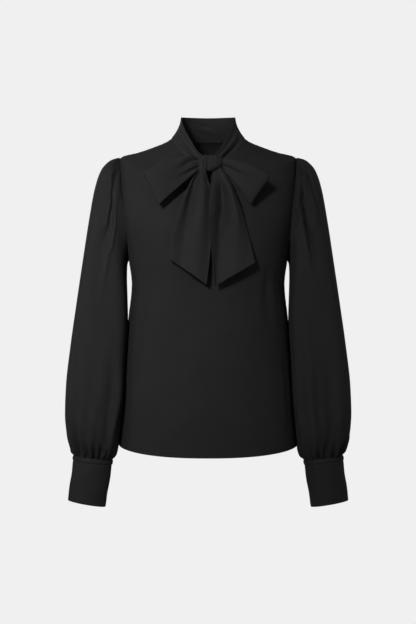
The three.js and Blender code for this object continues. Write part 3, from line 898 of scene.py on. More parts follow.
@dataclass(frozen=True)
class BodyPanel:
    """The front or the back, from side seam to side seam."""

    face: Face
    folds: tuple[Fold, ...]
    flat: tuple[float, float]  # width and length of the cut
    form: BodyForm = BodyForm()
    filled: float = 0.78  # share of that rectangle that the shaped panel fills
    around: float = 0.13  # metres to a radian round the body
    span: float = 2.6  # radians from side seam to side seam
    neck_slope: float = 0.8  # metres of cloth to one of height by the neck
    calm: float = 0.012  # the folds fade out this near a seam
    hem: float = 0.012  # depth of the turned hem
    hem_step: float = 0.0002
    hem_from: float = 0.0004  # the step starts this far below the hem's depth
    hem_fall: float = 0.0009  # and falls over this way
    seam_roll: float = 0.0004  # how far the cloth dips at its seams
    seam_reach: float = 0.0018
    pucker: float = 0.00035  # height of the small puckers along the side seams
    pucker_wave: float = 0.011
    pucker_drift: float = 0.047  # way over which they grow wider and narrower again
    pucker_uneven: float = 2.2
    pucker_from: float = 0.002
    pucker_reach: float = 0.008
    slit_bottom: float = 0.47  # lower end of the neck slit, up from the hem
    columns: float = 0.0027  # metres from one to the next
    rows: float = 0.0036
    end_rows: tuple[float, ...] = (0.0003, 0.0009, 0.0018, 0.0032, 0.005)
    low_rows: tuple[float, ...] = (0.0025, 0.005)
    hem_rows: tuple[float, ...] = (0, 0.0008, 0.002, 0.0045, 0.008, 0.0106, 0.0116, 0.0122, 0.0132)

    @property
    def node(self) -> str:
        """The solid that the panel replaces."""
        return self.face.name.lower()

    def heights(self) -> Array:
        """Heights of the rows, closer together at the hem and at both ends of the armhole.

        Returns:
            The heights, rising, each once.
        """
        form = self.form
        hem = np.array(self.hem_rows)
        low = hem[-1] + graded(form.underarm - hem[-1], self.rows, self.low_rows)
        middle = form.underarm + graded(form.shoulder - form.underarm, self.rows, self.end_rows)
        high = form.shoulder + graded(form.neck - form.shoulder, self.rows, self.end_rows)
        slit = [self.slit_bottom] if self.face is Face.FRONT else []
        return np.unique(np.round(np.concatenate([hem, low, middle, high, slit]), 6))

    def build(self) -> bpy.types.Object:
        """Makes the panel.

        Returns:
            The piece.
        """
        form = self.form
        sign = self.face.value
        heights = self.heights()
        width = self.span * self.around
        share = graded(width, self.columns)
        if len(share) % 2 == 0:
            share = np.insert(share, len(share) // 2, width / 2)
        share = share / width
        up, part = np.meshgrid(heights, share, indexing="ij")
        edge = form.armhole_turn(up)
        turn = sign * mix(edge, math.pi - edge, part)
        points = form.point(turn, up)
        points[..., 1] -= sign * SEAM / 2
        outward = points * [1, 1, 0]
        grid = ClothGrid(points, outward)
        if self.face is Face.FRONT:
            row = int(np.argmin(np.abs(heights - self.slit_bottom)))
            grid.slit = (len(share) // 2, row)
        way = np.zeros_like(up)
        for fold in self.folds:
            way += fold.offset(up, turn, self.around)
        side = np.minimum(part, 1 - part) * (math.pi - 2 * edge) * self.around
        near = np.minimum(side, (form.neck - up) * self.neck_slope)
        way *= fade(near / self.calm)
        uneven = self.pucker_uneven * np.sin(TURN * up / self.pucker_drift)
        ripple = np.sin(TURN * up / self.pucker_wave + uneven)
        way += self.pucker * ripple * np.exp(-side / self.pucker_reach) * fade(side / self.pucker_from)
        way -= self.seam_roll * np.exp(-((near / self.seam_reach) ** 2))
        way += self.hem_step * (1 - fade((up - self.hem + self.hem_from) / self.hem_fall))
        grid.push(way)
        return grid.sew(f"{self.node}_cloth", CLOTH)

    def dress(self, piece: bpy.types.Object, finish: bpy.types.Material) -> None:
        """Gives the panel its finish and ties it to the blouse."""
        hang(piece, self.node, finish)


@dataclass(frozen=True)
class SleeveForm:
    """The smooth form of the left sleeve, from the armhole down to the cuff seam.

    down is the way along the outer edge. Each ring spans from its outer point to its inner point, and
    halfDepth to the front and the back of its middle at forward. square above 2 makes it boxier than an
    ellipse, all of it in front and no more than back_square behind.
    """

    rings: Table = Table(
        ("down", "outerX", "outerZ", "innerX", "innerZ", "halfDepth", "forward", "square"),
        (
            (0.0, 0.1665, -0.023, 0.1506, -0.217, 0.045, 0.002, 2.8),
            (0.005, 0.171, -0.0205, 0.152, -0.219, 0.048, 0.002, 2.8),
            (0.022, 0.187, -0.0285, 0.153, -0.222, 0.054, 0.002, 2.9),
            (0.045, 0.2025, -0.046, 0.1536, -0.226, 0.057, 0.003, 3.0),
            (0.085, 0.2145, -0.082, 0.154, -0.234, 0.059, 0.004, 3.2),
            (0.14, 0.224, -0.136, 0.1542, -0.25, 0.06, 0.005, 3.7),
            (0.213, 0.2345, -0.208, 0.1532, -0.284, 0.06, 0.007, 4.8),
            (0.3, 0.2468, -0.294, 0.1519, -0.335, 0.061, 0.01, 5.4),
            (0.39, 0.2592, -0.384, 0.1555, -0.402, 0.062, 0.013, 5.4),
            (0.46, 0.2668, -0.453, 0.1585, -0.467, 0.062, 0.016, 5.0),
            (0.512, 0.2686, -0.505, 0.1632, -0.519, 0.059, 0.018, 5.0),
            (0.553, 0.265, -0.546, 0.168, -0.559, 0.051, 0.02, 4.2),
            (0.579, 0.2582, -0.5705, 0.173, -0.5815, 0.039, 0.0215, 3.2),
            (0.594, 0.2532, -0.584, 0.1804, -0.5926, 0.0295, 0.0225, 2.4),
        ),
    )
    length: float = 0.594
    cap_blend: float = 0.022  # way over which the armhole's edge turns into the rings
    seam_bend: float = 1.5  # how the ring's corners are shared out along the armhole
    back_square: float = 2.6
    blend_half: float = 0.35  # half the way over which the front's corners turn into the back's
    body: BodyForm = BodyForm()

    def point(self, turn: Array, down: Array) -> Array:
        """Points on the smooth sleeve.

        Args:
            turn: Turns round it, from its outer edge to its front.
            down: Places down from the armhole.

        Returns:
            The points.
        """
        rings = self.rings
        in_front = fade((np.sin(turn) + self.blend_half) / (2 * self.blend_half))
        front_square = rings.at("square", down)
        square = mix(np.minimum(front_square, self.back_square), front_square, in_front)
        reach = (np.abs(np.cos(turn)) ** square + np.abs(np.sin(turn)) ** square) ** (-1 / square)
        half = (1 + np.cos(turn) * reach) / 2
        depth = rings.at("forward", down) + rings.at("halfDepth", down) * np.sin(turn) * reach
        points = np.stack(
            [
                mix(rings.at("innerX", down), rings.at("outerX", down), half),
                -depth,
                mix(rings.at("innerZ", down), rings.at("outerZ", down), half),
            ],
            axis=-1,
        )
        share = fade(down / self.cap_blend)[..., None]
        seam_turn = np.arctan2(power(np.sin(turn), self.seam_bend), power(np.cos(turn), self.seam_bend))
        return mix(self.body.armhole_point(seam_turn), points, share)

    def middle(self, down: Array) -> Array:
        """The middle of the sleeve.

        Args:
            down: Places down from the armhole.

        Returns:
            The middle at each place.
        """
        rings = self.rings
        return np.stack(
            [
                (rings.at("innerX", down) + rings.at("outerX", down)) / 2,
                -rings.at("forward", down),
                (rings.at("innerZ", down) + rings.at("outerZ", down)) / 2,
            ],
            axis=-1,
        )


BACK_PLEATS = (
    Fold(((0, -23.5), (0.05, -31.8), (0.15, -36.2)), (0.0055, 0.012), 0.0036, 0.12, 0.75),
    Fold(((0, -41.7), (0.05, -55.3), (0.12, -63), (0.24, -68.4)), (0.005, 0.013), 0.0052, 0.08, 0.75),
    Fold(((0, -58.2), (0.05, -80.4), (0.17, -102.6), (0.3, -107.5)), (0.006, 0.013), -0.0030, 0.12, 0.6),
    Fold(((0, -80.4), (0.05, -115.3), (0.14, -123.3)), (0.005, 0.011), 0.0028, 0.12, 0.7),
    Fold(((0.16, -15.1), (0.3, -21.6), (0.42, -17.5)), (0.014, 0.012), 0.0016, 0.5, 0.5),
)
RIGHT_SLEEVE_FOLDS = (
    # pleats that fan out of the front of the armhole
    Fold(
        ((0.003, 23.5), (0.008, 31), (0.018, 41.7), (0.034, 48.3)),
        (0.003, 0.007), 0.0022, 0.12, 0.6, 0.15,
    ),
    Fold(
        ((0.003, 36), (0.009, 44), (0.023, 68), (0.041, 83), (0.086, 89), (0.142, 79), (0.2, 73)),
        (0.0036, 0.011), 0.0048, 0.05, 0.75, 0.1,
    ),
    Fold(
        ((0.012, 56), (0.023, 84), (0.05, 102), (0.1, 104), (0.15, 97), (0.2, 92), (0.26, 87), (0.32, 85)),
        (0.004, 0.0075), -0.0024, 0.08, 0.5, 0.0,
    ),
    # falls and ridges that run down into the cuff
    Fold(
        ((0.34, 119.5), (0.436, 121.8), (0.506, 119.5), (0.549, 118.7), (0.588, 111.6)),
        (0.011, 0.006), 0.0044, 0.5, 0.05, 0.2,
    ),
    Fold(
        ((0.38, 137), (0.464, 136.3), (0.505, 131), (0.54, 126.2), (0.586, 120.2)),
        (0.010, 0.005), -0.0034, 0.5, 0.08, 0.1,
    ),
    Fold(((0.44, 96.1), (0.519, 93.8), (0.586, 80.4)), (0.009, 0.005), -0.0026, 0.5, 0.08, 0.1),
    Fold(((0.26, 52.4), (0.38, 55.3), (0.5, 59.8), (0.585, 63)), (0.013, 0.007), 0.0022, 0.5, 0.05, 0.2),
    Fold(((0.26, -72.5), (0.38, -96.1), (0.5, -107.5), (0.585, -105.1)), (0.013, 0.007), 0.0044, 0.4, 0.05),
    Fold(((0.3, -48.3), (0.42, -51.1), (0.54, -55.3)), (0.013, 0.008), -0.0028, 0.5, 0.3),
    Fold(((0.22, -124.7), (0.34, -130.3), (0.46, -131.7)), (0.012, 0.010), 0.0030, 0.5, 0.5),
)
LEFT_SLEEVE_FOLDS = (
    Fold(
        ((0.003, 25.3), (0.01, 30.2), (0.02, 38.9), (0.036, 45.7)),
        (0.003, 0.007), 0.0020, 0.12, 0.6, 0.15,
    ),
    Fold(
        (
            (0.003, 35), (0.013, 50), (0.026, 80), (0.053, 90), (0.085, 91), (0.125, 86), (0.175, 82),
            (0.24, 80),
        ),
        (0.0044, 0.009), 0.0118, 0.05, 0.6, 0.1,
    ),
    Fold(
        ((0.008, 29), (0.022, 56), (0.05, 73), (0.09, 68), (0.15, 58)),
        (0.0036, 0.007), -0.0034, 0.12, 0.6, 0.0,
    ),
    Fold(
        ((0.008, 22), (0.03, 46), (0.06, 55), (0.12, 50), (0.22, 46)),
        (0.006, 0.011), 0.0048, 0.12, 0.6, 0.1,
    ),
    Fold(
        ((0.004, 55.3), (0.03, 115.3), (0.06, 118.7), (0.18, 121.8)),
        (0.0065, 0.012), -0.0030, 0.12, 0.7, 0.0,
    ),
    Fold(
        ((0.32, 113.5), (0.413, 109.6), (0.46, 111.6), (0.507, 110.6), (0.552, 107.5), (0.586, 103.9)),
        (0.010, 0.006), -0.0040, 0.4, 0.06, 0.1,
    ),
    Fold(
        ((0.36, 127.6), (0.44, 128.9), (0.52, 127.6), (0.588, 123.3)),
        (0.011, 0.006), 0.0042, 0.5, 0.05, 0.2,
    ),
    Fold(((0.34, 72.5), (0.42, 74.9), (0.5, 77.4), (0.588, 77.4)), (0.011, 0.006), 0.0036, 0.5, 0.05, 0.2),
    Fold(((0.42, 55.3), (0.5, 56.7), (0.586, 59.8)), (0.010, 0.006), -0.0026, 0.6, 0.08, 0.1),
    Fold(((0.24, -66.5), (0.36, -77.4), (0.48, -99.6), (0.585, -102.6)), (0.013, 0.007), 0.0044, 0.4, 0.05),
    Fold(((0.32, -47), (0.44, -49.7), (0.55, -52.4)), (0.013, 0.008), -0.0028, 0.5, 0.3),
    Fold(((0.2, -121.8), (0.32, -127.6), (0.44, -130.3)), (0.012, 0.010), 0.0030, 0.5, 0.5),
)


@dataclass(frozen=True)
class Sleeve:
    """A bishop sleeve, pleated into the armhole and gathered into the cuff."""

    side: Side
    folds: tuple[Fold, ...]
    seed: int
    form: SleeveForm = SleeveForm()
    flat: tuple[float, float] = (0.40, 0.60)
    filled: float = 0.86  # share of that rectangle that the shaped sleeve fills
    gathers: int = 22
    gather_first: float = 16  # degrees within which the first one lies
    gather_lean: float = 5  # degrees that one may lean to either side
    gather_apart: tuple[float, float] = (0.72, 1.28)  # least and most way to the next, in even ways
    gather_deep: tuple[float, float] = (0.003, 0.0064)
    gather_long: tuple[float, float] = (0.03, 0.10)
    gather_wide: tuple[float, float] = (0.0022, 0.0034)
    gather_flare: float = 2.6  # its width at the top, in widths at the cuff
    inner_share: float = 0.6  # what is left of the gathers on the inner edge
    whole_from: float = 0.3  # they are whole where the cosine of the turn is above this
    head_calm: tuple[float, float] = (0.3, 0.012)  # share of the folds left at the head, whole below this
    cuff_calm: tuple[float, float] = (0.32, 0.009)
    tuck: float = 0.002  # how far the end reaches into the cuff
    tuck_over: float = 0.003  # way over which it does so
    tuck_in: float = 0.0014  # how far it draws in there
    tuck_in_over: float = 0.004
    head_tuck: float = 0.0026  # how far the head reaches in under the body's edge
    head_tuck_over: float = 0.0035
    head_in: float = 0.0013  # how far it draws in there
    head_in_over: float = 0.0018
    columns: int = 216
    rows: float = 0.0052  # metres from one to the next
    end_rows: tuple[float, ...] = (0.0008, 0.0018, 0.003, 0.0045, 0.0062, 0.008, 0.01, 0.012, 0.0145)
    head_from: float = 0.015  # the rows are closer together from here
    head_first: float = 0.0165
    head_rows: float = 0.07  # down to here
    head_step: float = 0.0024

    @property
    def node(self) -> str:
        """The solid that the sleeve replaces."""
        return f"sleeve_{self.side.name.lower()}"

    def cuff_gathers(self) -> list[Fold]:
        """The small gathers at the cuff, uneven in width, depth and length.

        Returns:
            The gathers, one after another round the sleeve.
        """
        dice = np.random.default_rng(self.seed)
        gathers = []
        place = dice.uniform(0, self.gather_first)
        end = self.form.length
        for _ in range(self.gathers):
            length = dice.uniform(*self.gather_long)
            lean = dice.uniform(-self.gather_lean, self.gather_lean)
            deep = dice.uniform(*self.gather_deep)
            wide = dice.uniform(*self.gather_wide)
            path = ((end - length, place + lean), (end - length / 3, place + lean / 3), (end, place))
            gathers.append(Fold(path, (wide * self.gather_flare, wide), deep, 0.85, 0.02, 0.45))
            place += 360 / self.gathers * dice.uniform(*self.gather_apart)
        return gathers

    def places(self) -> Array:
        """Places of the rows down the sleeve, closer together at its head and at both ends.

        Returns:
            The places, rising.
        """
        even = graded(self.form.length, self.rows, self.end_rows)
        kept = even[(even < self.head_from) | (even > self.head_rows)]
        head = np.arange(self.head_first, self.head_rows, self.head_step)
        return np.sort(np.concatenate([head, kept]))

    def build(self) -> bpy.types.Object:
        """Makes the sleeve.

        Returns:
            The piece.
        """
        form = self.form
        turns = np.arange(self.columns) * TURN / self.columns
        down, turn = np.meshgrid(self.places(), turns, indexing="ij")
        degrees = turn / DEGREE
        points = form.point(turn, down)
        grid = ClothGrid(points, points - form.middle(down), closed=True)
        ring = np.concatenate([points[:, -1:], points, points[:, :1]], axis=1)
        metres_to_degree = np.linalg.norm(ring[:, 2:] - ring[:, :-2], axis=2) * self.columns / (2 * 360)
        left = form.length - down
        way = np.zeros_like(down)
        for fold in (*BACK_PLEATS, *self.folds):
            way += fold.offset(down, degrees, metres_to_degree, 360.0)
        hang_free = mix(self.inner_share, 1.0, np.clip(1 - self.whole_from + np.cos(turn), 0, 1))
        for gather in self.cuff_gathers():
            way += gather.offset(down, degrees, metres_to_degree, 360.0) * hang_free
        head_left, head_over = self.head_calm
        cuff_left, cuff_over = self.cuff_calm
        way *= mix(head_left, 1.0, fade(down / head_over)) * mix(cuff_left, 1.0, fade(left / cuff_over))
        way -= self.head_in * np.exp(-((down / self.head_in_over) ** 2))
        way -= self.tuck_in * (1 - fade(left / self.tuck_in_over))
        grid.push(way)
        grid.points[..., 2] -= self.tuck * (1 - fade(left / self.tuck_over))
        grid.points[..., 0] -= self.head_tuck * (1 - fade(down / self.head_tuck_over))
        if self.side is Side.RIGHT:
            grid.mirror()
        return grid.sew(f"{self.node}_cloth", CLOTH)

    def dress(self, piece: bpy.types.Object, finish: bpy.types.Material) -> None:
        """Gives the sleeve its finish and ties it to the blouse."""
        hang(piece, self.node, finish)


@dataclass(frozen=True)
class CuffForm:
    """The form of the left cuff, a strip whose outer end laps over its inner end at the back.

    top and foot are the sizes of its two edges, in the order that sizes gives them.
    """

    top: tuple[float, ...] = (0.2536, -0.5845, 0.18, -0.5932, 0.03, 0.0226)
    foot: tuple[float, ...] = (0.2644, -0.6684, 0.1932, -0.681, 0.0295, 0.028)
    lap_turn: float = -118.0  # degrees from its outer edge to its inner end
    lap: float = 30.0  # degrees past a full turn
    lift_from: float = 0.8  # share of the strip from which it lifts off the layer below
    lift_over: float = 0.12
    lift: float = 0.0021

    def sizes(self, share: Array) -> list[Array]:
        """Outer X and Z, inner X and Z, half depth and way forward, at a share of the way down."""
        return [mix(first, last, share) for first, last in zip(self.top, self.foot)]

    def point(self, degrees: Array, share: Array) -> Array:
        """Points on the cuff.

        Args:
            degrees: Turns round it, past a full turn where the outer end laps over the inner one.
            share: Shares of the way down.

        Returns:
            The points.
        """
        outer_x, outer_z, inner_x, inner_z, depth, forward = self.sizes(share)
        turn = degrees * DEGREE
        half = (1 + np.cos(turn)) / 2
        y = -forward - depth * np.sin(turn)
        point = np.stack([mix(inner_x, outer_x, half), y, mix(inner_z, outer_z, half)], axis=-1)
        out = point - self.middle(share)
        out /= np.linalg.norm(out, axis=-1, keepdims=True)
        way = (degrees - self.lap_turn) / (360 + self.lap)
        return point + out * (self.lift * fade((way - self.lift_from) / self.lift_over))[..., None]

    def middle(self, share: Array) -> Array:
        """The middle of the cuff at a share of the way down."""
        outer_x, outer_z, inner_x, inner_z, _, forward = self.sizes(share)
        return np.stack([(outer_x + inner_x) / 2, -forward, (outer_z + inner_z) / 2], axis=-1)


@dataclass(frozen=True)
class Cuff:
    """A deep doubled cuff with a rolled seam along its top edge."""

    side: Side
    form: CuffForm = CuffForm()
    flat: tuple[float, float] = (0.226, 0.086)
    height: float = 0.086
    roll: float = 0.0095  # depth of the seam's roll at the top edge
    roll_rise: float = 0.0013
    dent: float = 0.0005  # the dip under the roll
    dent_below: float = 0.0006
    dent_half: float = 0.0009
    wave: float = 0.0006  # slack of the cloth between both edges
    wave_count: float = 3
    wave_start: float = 1.1
    wave_twist: float = 9  # radians from the top to the foot
    wave_round: float = 0.7
    pucker: float = 0.0004  # what shows of the gathers below the roll
    pucker_wave: float = 17  # degrees
    pucker_reach: float = 0.008
    edge_in: float = 0.0005  # the foot's pressed edge
    edge_reach: float = 0.0012
    columns: int = 150
    rows: float = 0.0026
    end_rows: tuple[float, ...] = (
        0.0005, 0.0012, 0.0022, 0.0034, 0.005, 0.0068, 0.0082, 0.009, 0.0097, 0.0104, 0.0112, 0.0124,
    )

    @property
    def node(self) -> str:
        """The solid that the cuff replaces."""
        return f"cuff_{self.side.name.lower()}"

    def build(self) -> bpy.types.Object:
        """Makes the cuff.

        Returns:
            The piece.
        """
        form = self.form
        places = graded(self.height, self.rows, self.end_rows)
        degrees = form.lap_turn + np.linspace(0, 360 + form.lap, self.columns + 1)
        down, around = np.meshgrid(places, degrees, indexing="ij")
        share = down / self.height
        points = form.point(around, share)
        grid = ClothGrid(points, points - form.middle(share))
        inside = np.clip(down / self.roll, 0, 1)
        way = self.roll_rise * np.sqrt(np.maximum(1 - (2 * inside - 1) ** 2, 0)) * (down < self.roll)
        way -= self.dent * np.exp(-(((down - self.roll - self.dent_below) / self.dent_half) ** 2))
        slack = np.sin(around * DEGREE * self.wave_count + self.wave_start + self.wave_twist * share)
        way += self.wave * (slack * np.sin(math.pi * share) ** self.wave_round)
        ripple = np.sin(TURN * around / self.pucker_wave + 2 * np.sin(around * DEGREE * 5))
        way += self.pucker * ripple * np.exp(-down / self.pucker_reach)
        way -= self.edge_in * np.exp(-(((self.height - down) / self.edge_reach) ** 2))
        grid.push(way)
        if self.side is Side.RIGHT:
            grid.mirror()
        return grid.sew(f"{self.node}_cloth", DOUBLE)

    def dress(self, piece: bpy.types.Object, finish: bpy.types.Material) -> None:
        """Gives the cuff its finish and ties it to the blouse."""
        hang(piece, self.node, finish)


# along the band in degrees from the middle of the back, across it in shares of its height
BAND_RIGHT_FOLDS = (
    Fold(((98, 0.24), (130, 0.32), (160, 0.40), (176, 0.44)), (0.0032, 0.0016), 0.0018, 0.4, 0.02),
    Fold(((104, 0.46), (135, 0.50), (160, 0.56), (176, 0.60)), (0.0034, 0.0018), -0.0019, 0.4, 0.02),
    Fold(((104, 0.08), (130, 0.12), (158, 0.18), (176, 0.22)), (0.003, 0.0015), 0.0015, 0.4, 0.02),
    Fold(((120, 0.70), (145, 0.72), (176, 0.78)), (0.0036, 0.0017), 0.0014, 0.4, 0.02),
    Fold(((-14, 0.58), (10, 0.66), (34, 0.80)), (0.004, 0.0035), -0.0010, 0.5, 0.5),
    Fold(((-30, 0.36), (2, 0.46), (26, 0.52)), (0.004, 0.004), 0.0008, 0.5, 0.5),
)
BAND_LEFT_FOLDS = (
    Fold(((104, 0.13), (130, 0.16), (158, 0.22), (176, 0.28)), (0.0055, 0.0022), 0.0034, 0.3, 0.02, 0.1),
    Fold(((104, 0.46), (132, 0.46), (158, 0.50), (176, 0.56)), (0.0065, 0.0026), -0.0036, 0.3, 0.02, 0.1),
    Fold(((116, 0.72), (142, 0.70), (176, 0.78)), (0.004, 0.0016), 0.0010, 0.4, 0.02),
    Fold(((40, 0.46), (66, 0.56), (96, 0.66)), (0.006, 0.005), 0.0012, 0.5, 0.5),
)


@dataclass(frozen=True)
class Neckband:
    """The standing band, folded over at its top edge, whose ends run under the knot."""

    top: Table = Table(
        ("turn", "x", "y", "z"),
        (
            (-30.0, -0.026, 0.0395, 0.0585),
            (0.0, 0.0, 0.045, 0.0585),
            (30.0, 0.026, 0.0395, 0.0585),
            (60.0, 0.0445, 0.023, 0.0575),
            (90.0, 0.0518, 0.0, 0.055),
            (110.0, 0.0505, -0.021, 0.045),
            (130.0, 0.0435, -0.043, 0.026),
            (150.0, 0.032, -0.061, 0.0045),
            (165.0, 0.021, -0.072, -0.0145),
            (178.0, 0.006, -0.079, -0.028),
        ),
    )
    end: float = 176.0  # degrees to the knot
    flat_from: float = 110.0  # degrees from which it flattens towards the knot
    seam: float = 0.00042  # gap above the body's edge
    hollow: float = 0.004  # how far its middle dips in
    crease: float = 0.045  # depth of its two waves by the knot, as a share of its height
    seam_over: float = 0.0002  # how far the foot lies out over the body's edge
    seam_reach: float = 0.0022
    tuck: float = 0.0016  # how far the foot reaches down past the body's edge
    tuck_over: float = 0.003
    flat: tuple[float, float] = (0.40, 0.05)
    along: float = 0.0011  # metres to a degree round the band
    calm: float = 9  # the folds fade out over one part in this many of the height
    body: BodyForm = BodyForm()
    columns: int = 230
    rows: int = 44
    end_rows: tuple[float, ...] = (0.012, 0.028, 0.05)

    def point(self, turn: Array, share: Array) -> Array:
        """Points on the band.

        Args:
            turn: Degrees from the middle of the back.
            share: Shares of the way up from the seam.

        Returns:
            The points.
        """
        way = np.abs(turn)
        foot = self.body.point((way - 90) * DEGREE, np.full_like(way, self.body.neck))
        top = np.stack([self.top.at(name, way) for name in ("x", "y", "z")], axis=-1)
        rise = top - foot
        height = np.linalg.norm(rise, axis=-1, keepdims=True)
        low = foot + rise / height * self.seam
        point = mix(low, top, share[..., None])
        inward = point * [-1, -1, 0]
        inward /= np.maximum(np.linalg.norm(inward, axis=-1, keepdims=True), 1e-9)
        to_knot = fade((way - self.flat_from) / (self.end - self.flat_from))
        hollow = self.hollow * (1 - to_knot) * 4 * share * (1 - share)
        crease = self.crease * height[..., 0] * to_knot * np.cos(TURN * 2 * share) * np.sin(math.pi * share)
        point = point + inward * (hollow + crease)[..., None]
        point[..., 0] *= np.where(turn < 0, -1, 1)
        return point

    def build(self) -> bpy.types.Object:
        """Makes the band.

        Returns:
            The piece.
        """
        turns = np.linspace(-self.end, self.end, self.columns + 1)
        shares = graded(1.0, 1 / self.rows, self.end_rows)
        share, turn = np.meshgrid(shares, turns, indexing="ij")
        points = self.point(turn, share)
        grid = ClothGrid(points, points * [1, 1, 0])
        height = np.linalg.norm(points[-1] - points[0], axis=-1)[None, :]
        way = np.zeros_like(share)
        for folds, sign in ((BAND_RIGHT_FOLDS, -1), (BAND_LEFT_FOLDS, 1)):
            for fold in folds:
                way += fold.offset(turn * sign, share, height, stretch=self.along)
        way *= fade(np.minimum(share, 1 - share) * self.calm)
        way += self.seam_over * np.exp(-((share * height / self.seam_reach) ** 2))
        grid.push(way)
        grid.points[..., 2] -= self.tuck * (1 - fade(share * height / self.tuck_over))
        return grid.sew("neckband_cloth", DOUBLE)

    def dress(self, piece: bpy.types.Object, finish: bpy.types.Material) -> None:
        """Gives the band its finish and ties it to the blouse."""
        hang(piece, "neckband", finish)


@dataclass(frozen=True)
class BowLoop:
    """A loop of the bow, a strip that turns back on itself at its outer fold.

    Corners are X and Z of the strip's upper and lower edges, at its root by the knot and at its outer fold.
    """

    node: str
    root: tuple[tuple[float, float], tuple[float, float]]
    fold: tuple[tuple[float, float], tuple[float, float]]
    swell: float  # how far its upper edge arches up
    folds: tuple[Fold, ...]
    root_y: float = -0.096
    fold_y: float = -0.119
    root_half: float = 0.006  # half the way between its two leaves, at the root
    fold_half: float = 0.009
    drop: float = 0.007  # how far the rear leaf hangs below the front one
    round_end: float = 0.6  # below 1 the fold is blunter than a half circle
    reach: float = 0.8
    belly: float = 0.003  # what is added to that in the middle
    pleat: float = 0.0017  # depth of the waves at the root
    pleat_waves: float = 1.5
    cup: float = 0.003  # how far the front leaf's edges curl back
    lean: float = 0.001  # how far the upper corner lies back towards the body
    flat: tuple[float, float] = (0.072, 0.2)
    length: float = 0.2  # metres out and back, for the slant of the folds
    calm: float = 12  # the folds fade out over one part in this many of the width
    crowd: float = 0.25  # how much closer together the columns lie at both ends
    columns: int = 150
    rows: int = 56
    end_rows: tuple[float, ...] = (0.008, 0.02, 0.036)

    def point(self, way: Array, across: Array) -> Array:
        """Points on the loop.

        Args:
            way: Shares of the way out on the front leaf and back on the rear one.
            across: Shares of the way across, from the upper edge.

        Returns:
            The points.
        """
        reach = np.maximum(np.sin(math.pi * way), 0) ** self.reach
        upper, lower = (
            [mix(self.root[edge][axis], self.fold[edge][axis], reach) for axis in (0, 1)] for edge in (0, 1)
        )
        leaf = power(np.cos(math.pi * way), self.round_end)
        drop = self.drop * reach * fade((1 - leaf) / 2)
        bulge = np.sin(math.pi * reach)
        arch = self.swell * bulge * (1 - across) - drop
        half = mix(self.root_half, self.fold_half, fade(reach)) + self.belly * bulge
        pleat = self.pleat * (1 - reach) * np.cos(TURN * self.pleat_waves * across)
        cup = self.cup * reach * np.maximum(leaf, 0) * (2 * across - 1) ** 2
        lean = self.lean * fade(reach) * (1 - across)
        y = mix(self.root_y, self.fold_y, reach) - leaf * (half - pleat) + cup + lean
        z = mix(upper[1], lower[1], across) + arch
        return np.stack([mix(upper[0], lower[0], across), y, z], axis=-1)

    def build(self) -> bpy.types.Object:
        """Makes the loop.

        Returns:
            The piece.
        """
        crowded = (1 - np.cos(np.linspace(0, math.pi, self.columns + 1))) / 2
        ways = mix(np.linspace(0, 1, self.columns + 1), crowded, self.crowd)
        acrosses = graded(1.0, 1 / self.rows, self.end_rows)
        across, way = np.meshgrid(acrosses, ways, indexing="ij")
        points = self.point(way, across)
        outward = points - self.point(1 - way, across)
        outward[..., 0] += math.copysign(0.001, self.fold[0][0])  # where both leaves meet
        grid = ClothGrid(points, outward)
        height = np.linalg.norm(points[-1] - points[0], axis=-1)[None, :]
        push = np.zeros_like(way)
        for fold in self.folds:
            push += fold.offset(way, across, height, stretch=self.length)
        push *= fade(np.minimum(across, 1 - across) * self.calm)
        grid.push(push)
        return grid.sew(f"{self.node}_cloth", DOUBLE)

    def dress(self, piece: bpy.types.Object, finish: bpy.types.Material) -> None:
        """Gives the loop its finish and ties it to the blouse."""
        hang(piece, self.node, finish)


@dataclass(frozen=True)
class BowTail:
    """A tail of the bow, a strip that widens from the knot to its slanting end."""

    node: str
    edges: Table
    folds: tuple[Fold, ...]
    narrow: float = 0.25  # how much of a finer wave is taken off the folds
    waves: float = 1.5
    ridge_from: float = 0.25  # share of a wave before the first ridge
    shrink: Path = ((0.0, 1.0), (1.0, 1.0))  # how the waves draw together to the left, at places down
    lean_left: float = 0.0  # how far the left edge lies back towards the body at the end
    lean_right: float = 0.0
    lean_from: float = 0.3
    flat: tuple[float, float] = (0.072, 0.23)
    length: float = 0.22  # metres from knot to end, for the slant of the folds
    columns: int = 64
    rows: int = 130
    end_columns: tuple[float, ...] = (0.006, 0.016, 0.03)

    def point(self, down: Array, across: Array) -> Array:
        """Points on the tail.

        Args:
            down: Shares of the way down from the knot.
            across: Shares of the way across, from the left edge.

        Returns:
            The points.
        """
        place = down * (len(self.edges.rows) - 1)
        size = {name: self.edges.at(name, place) for name in self.edges.names[1:]}
        share = across ** curve(*zip(*self.shrink), down)
        wave = np.cos(TURN * (self.waves * share - self.ridge_from))
        wave -= self.narrow * np.cos(TURN * 3 * share)
        late = fade((down - self.lean_from) / (1 - self.lean_from))
        lean = (self.lean_left * (1 - across) ** 2 + self.lean_right * across**2) * late
        return np.stack(
            [
                mix(size["leftX"], size["rightX"], across),
                size["y"] - size["fold"] * wave + lean,
                mix(size["leftZ"], size["rightZ"], across),
            ],
            axis=-1,
        )

    def build(self) -> bpy.types.Object:
        """Makes the tail.

        Returns:
            The piece.
        """
        downs = np.linspace(0, 1, self.rows + 1)
        acrosses = graded(1.0, 1 / self.columns, self.end_columns)
        down, across = np.meshgrid(downs, acrosses, indexing="ij")
        points = self.point(down, across)
        grid = ClothGrid(points, np.array([0.0, -1.0, 0.0]))
        wide = np.linalg.norm(points[:, -1] - points[:, 0], axis=-1)[:, None]
        way = np.zeros_like(down)
        for fold in self.folds:
            way += fold.offset(down, across, wide, stretch=self.length)
        grid.push(way)
        return grid.sew(f"{self.node}_cloth", DOUBLE)

    def dress(self, piece: bpy.types.Object, finish: bpy.types.Material) -> None:
        """Gives the tail its finish and ties it to the blouse."""
        hang(piece, self.node, finish)


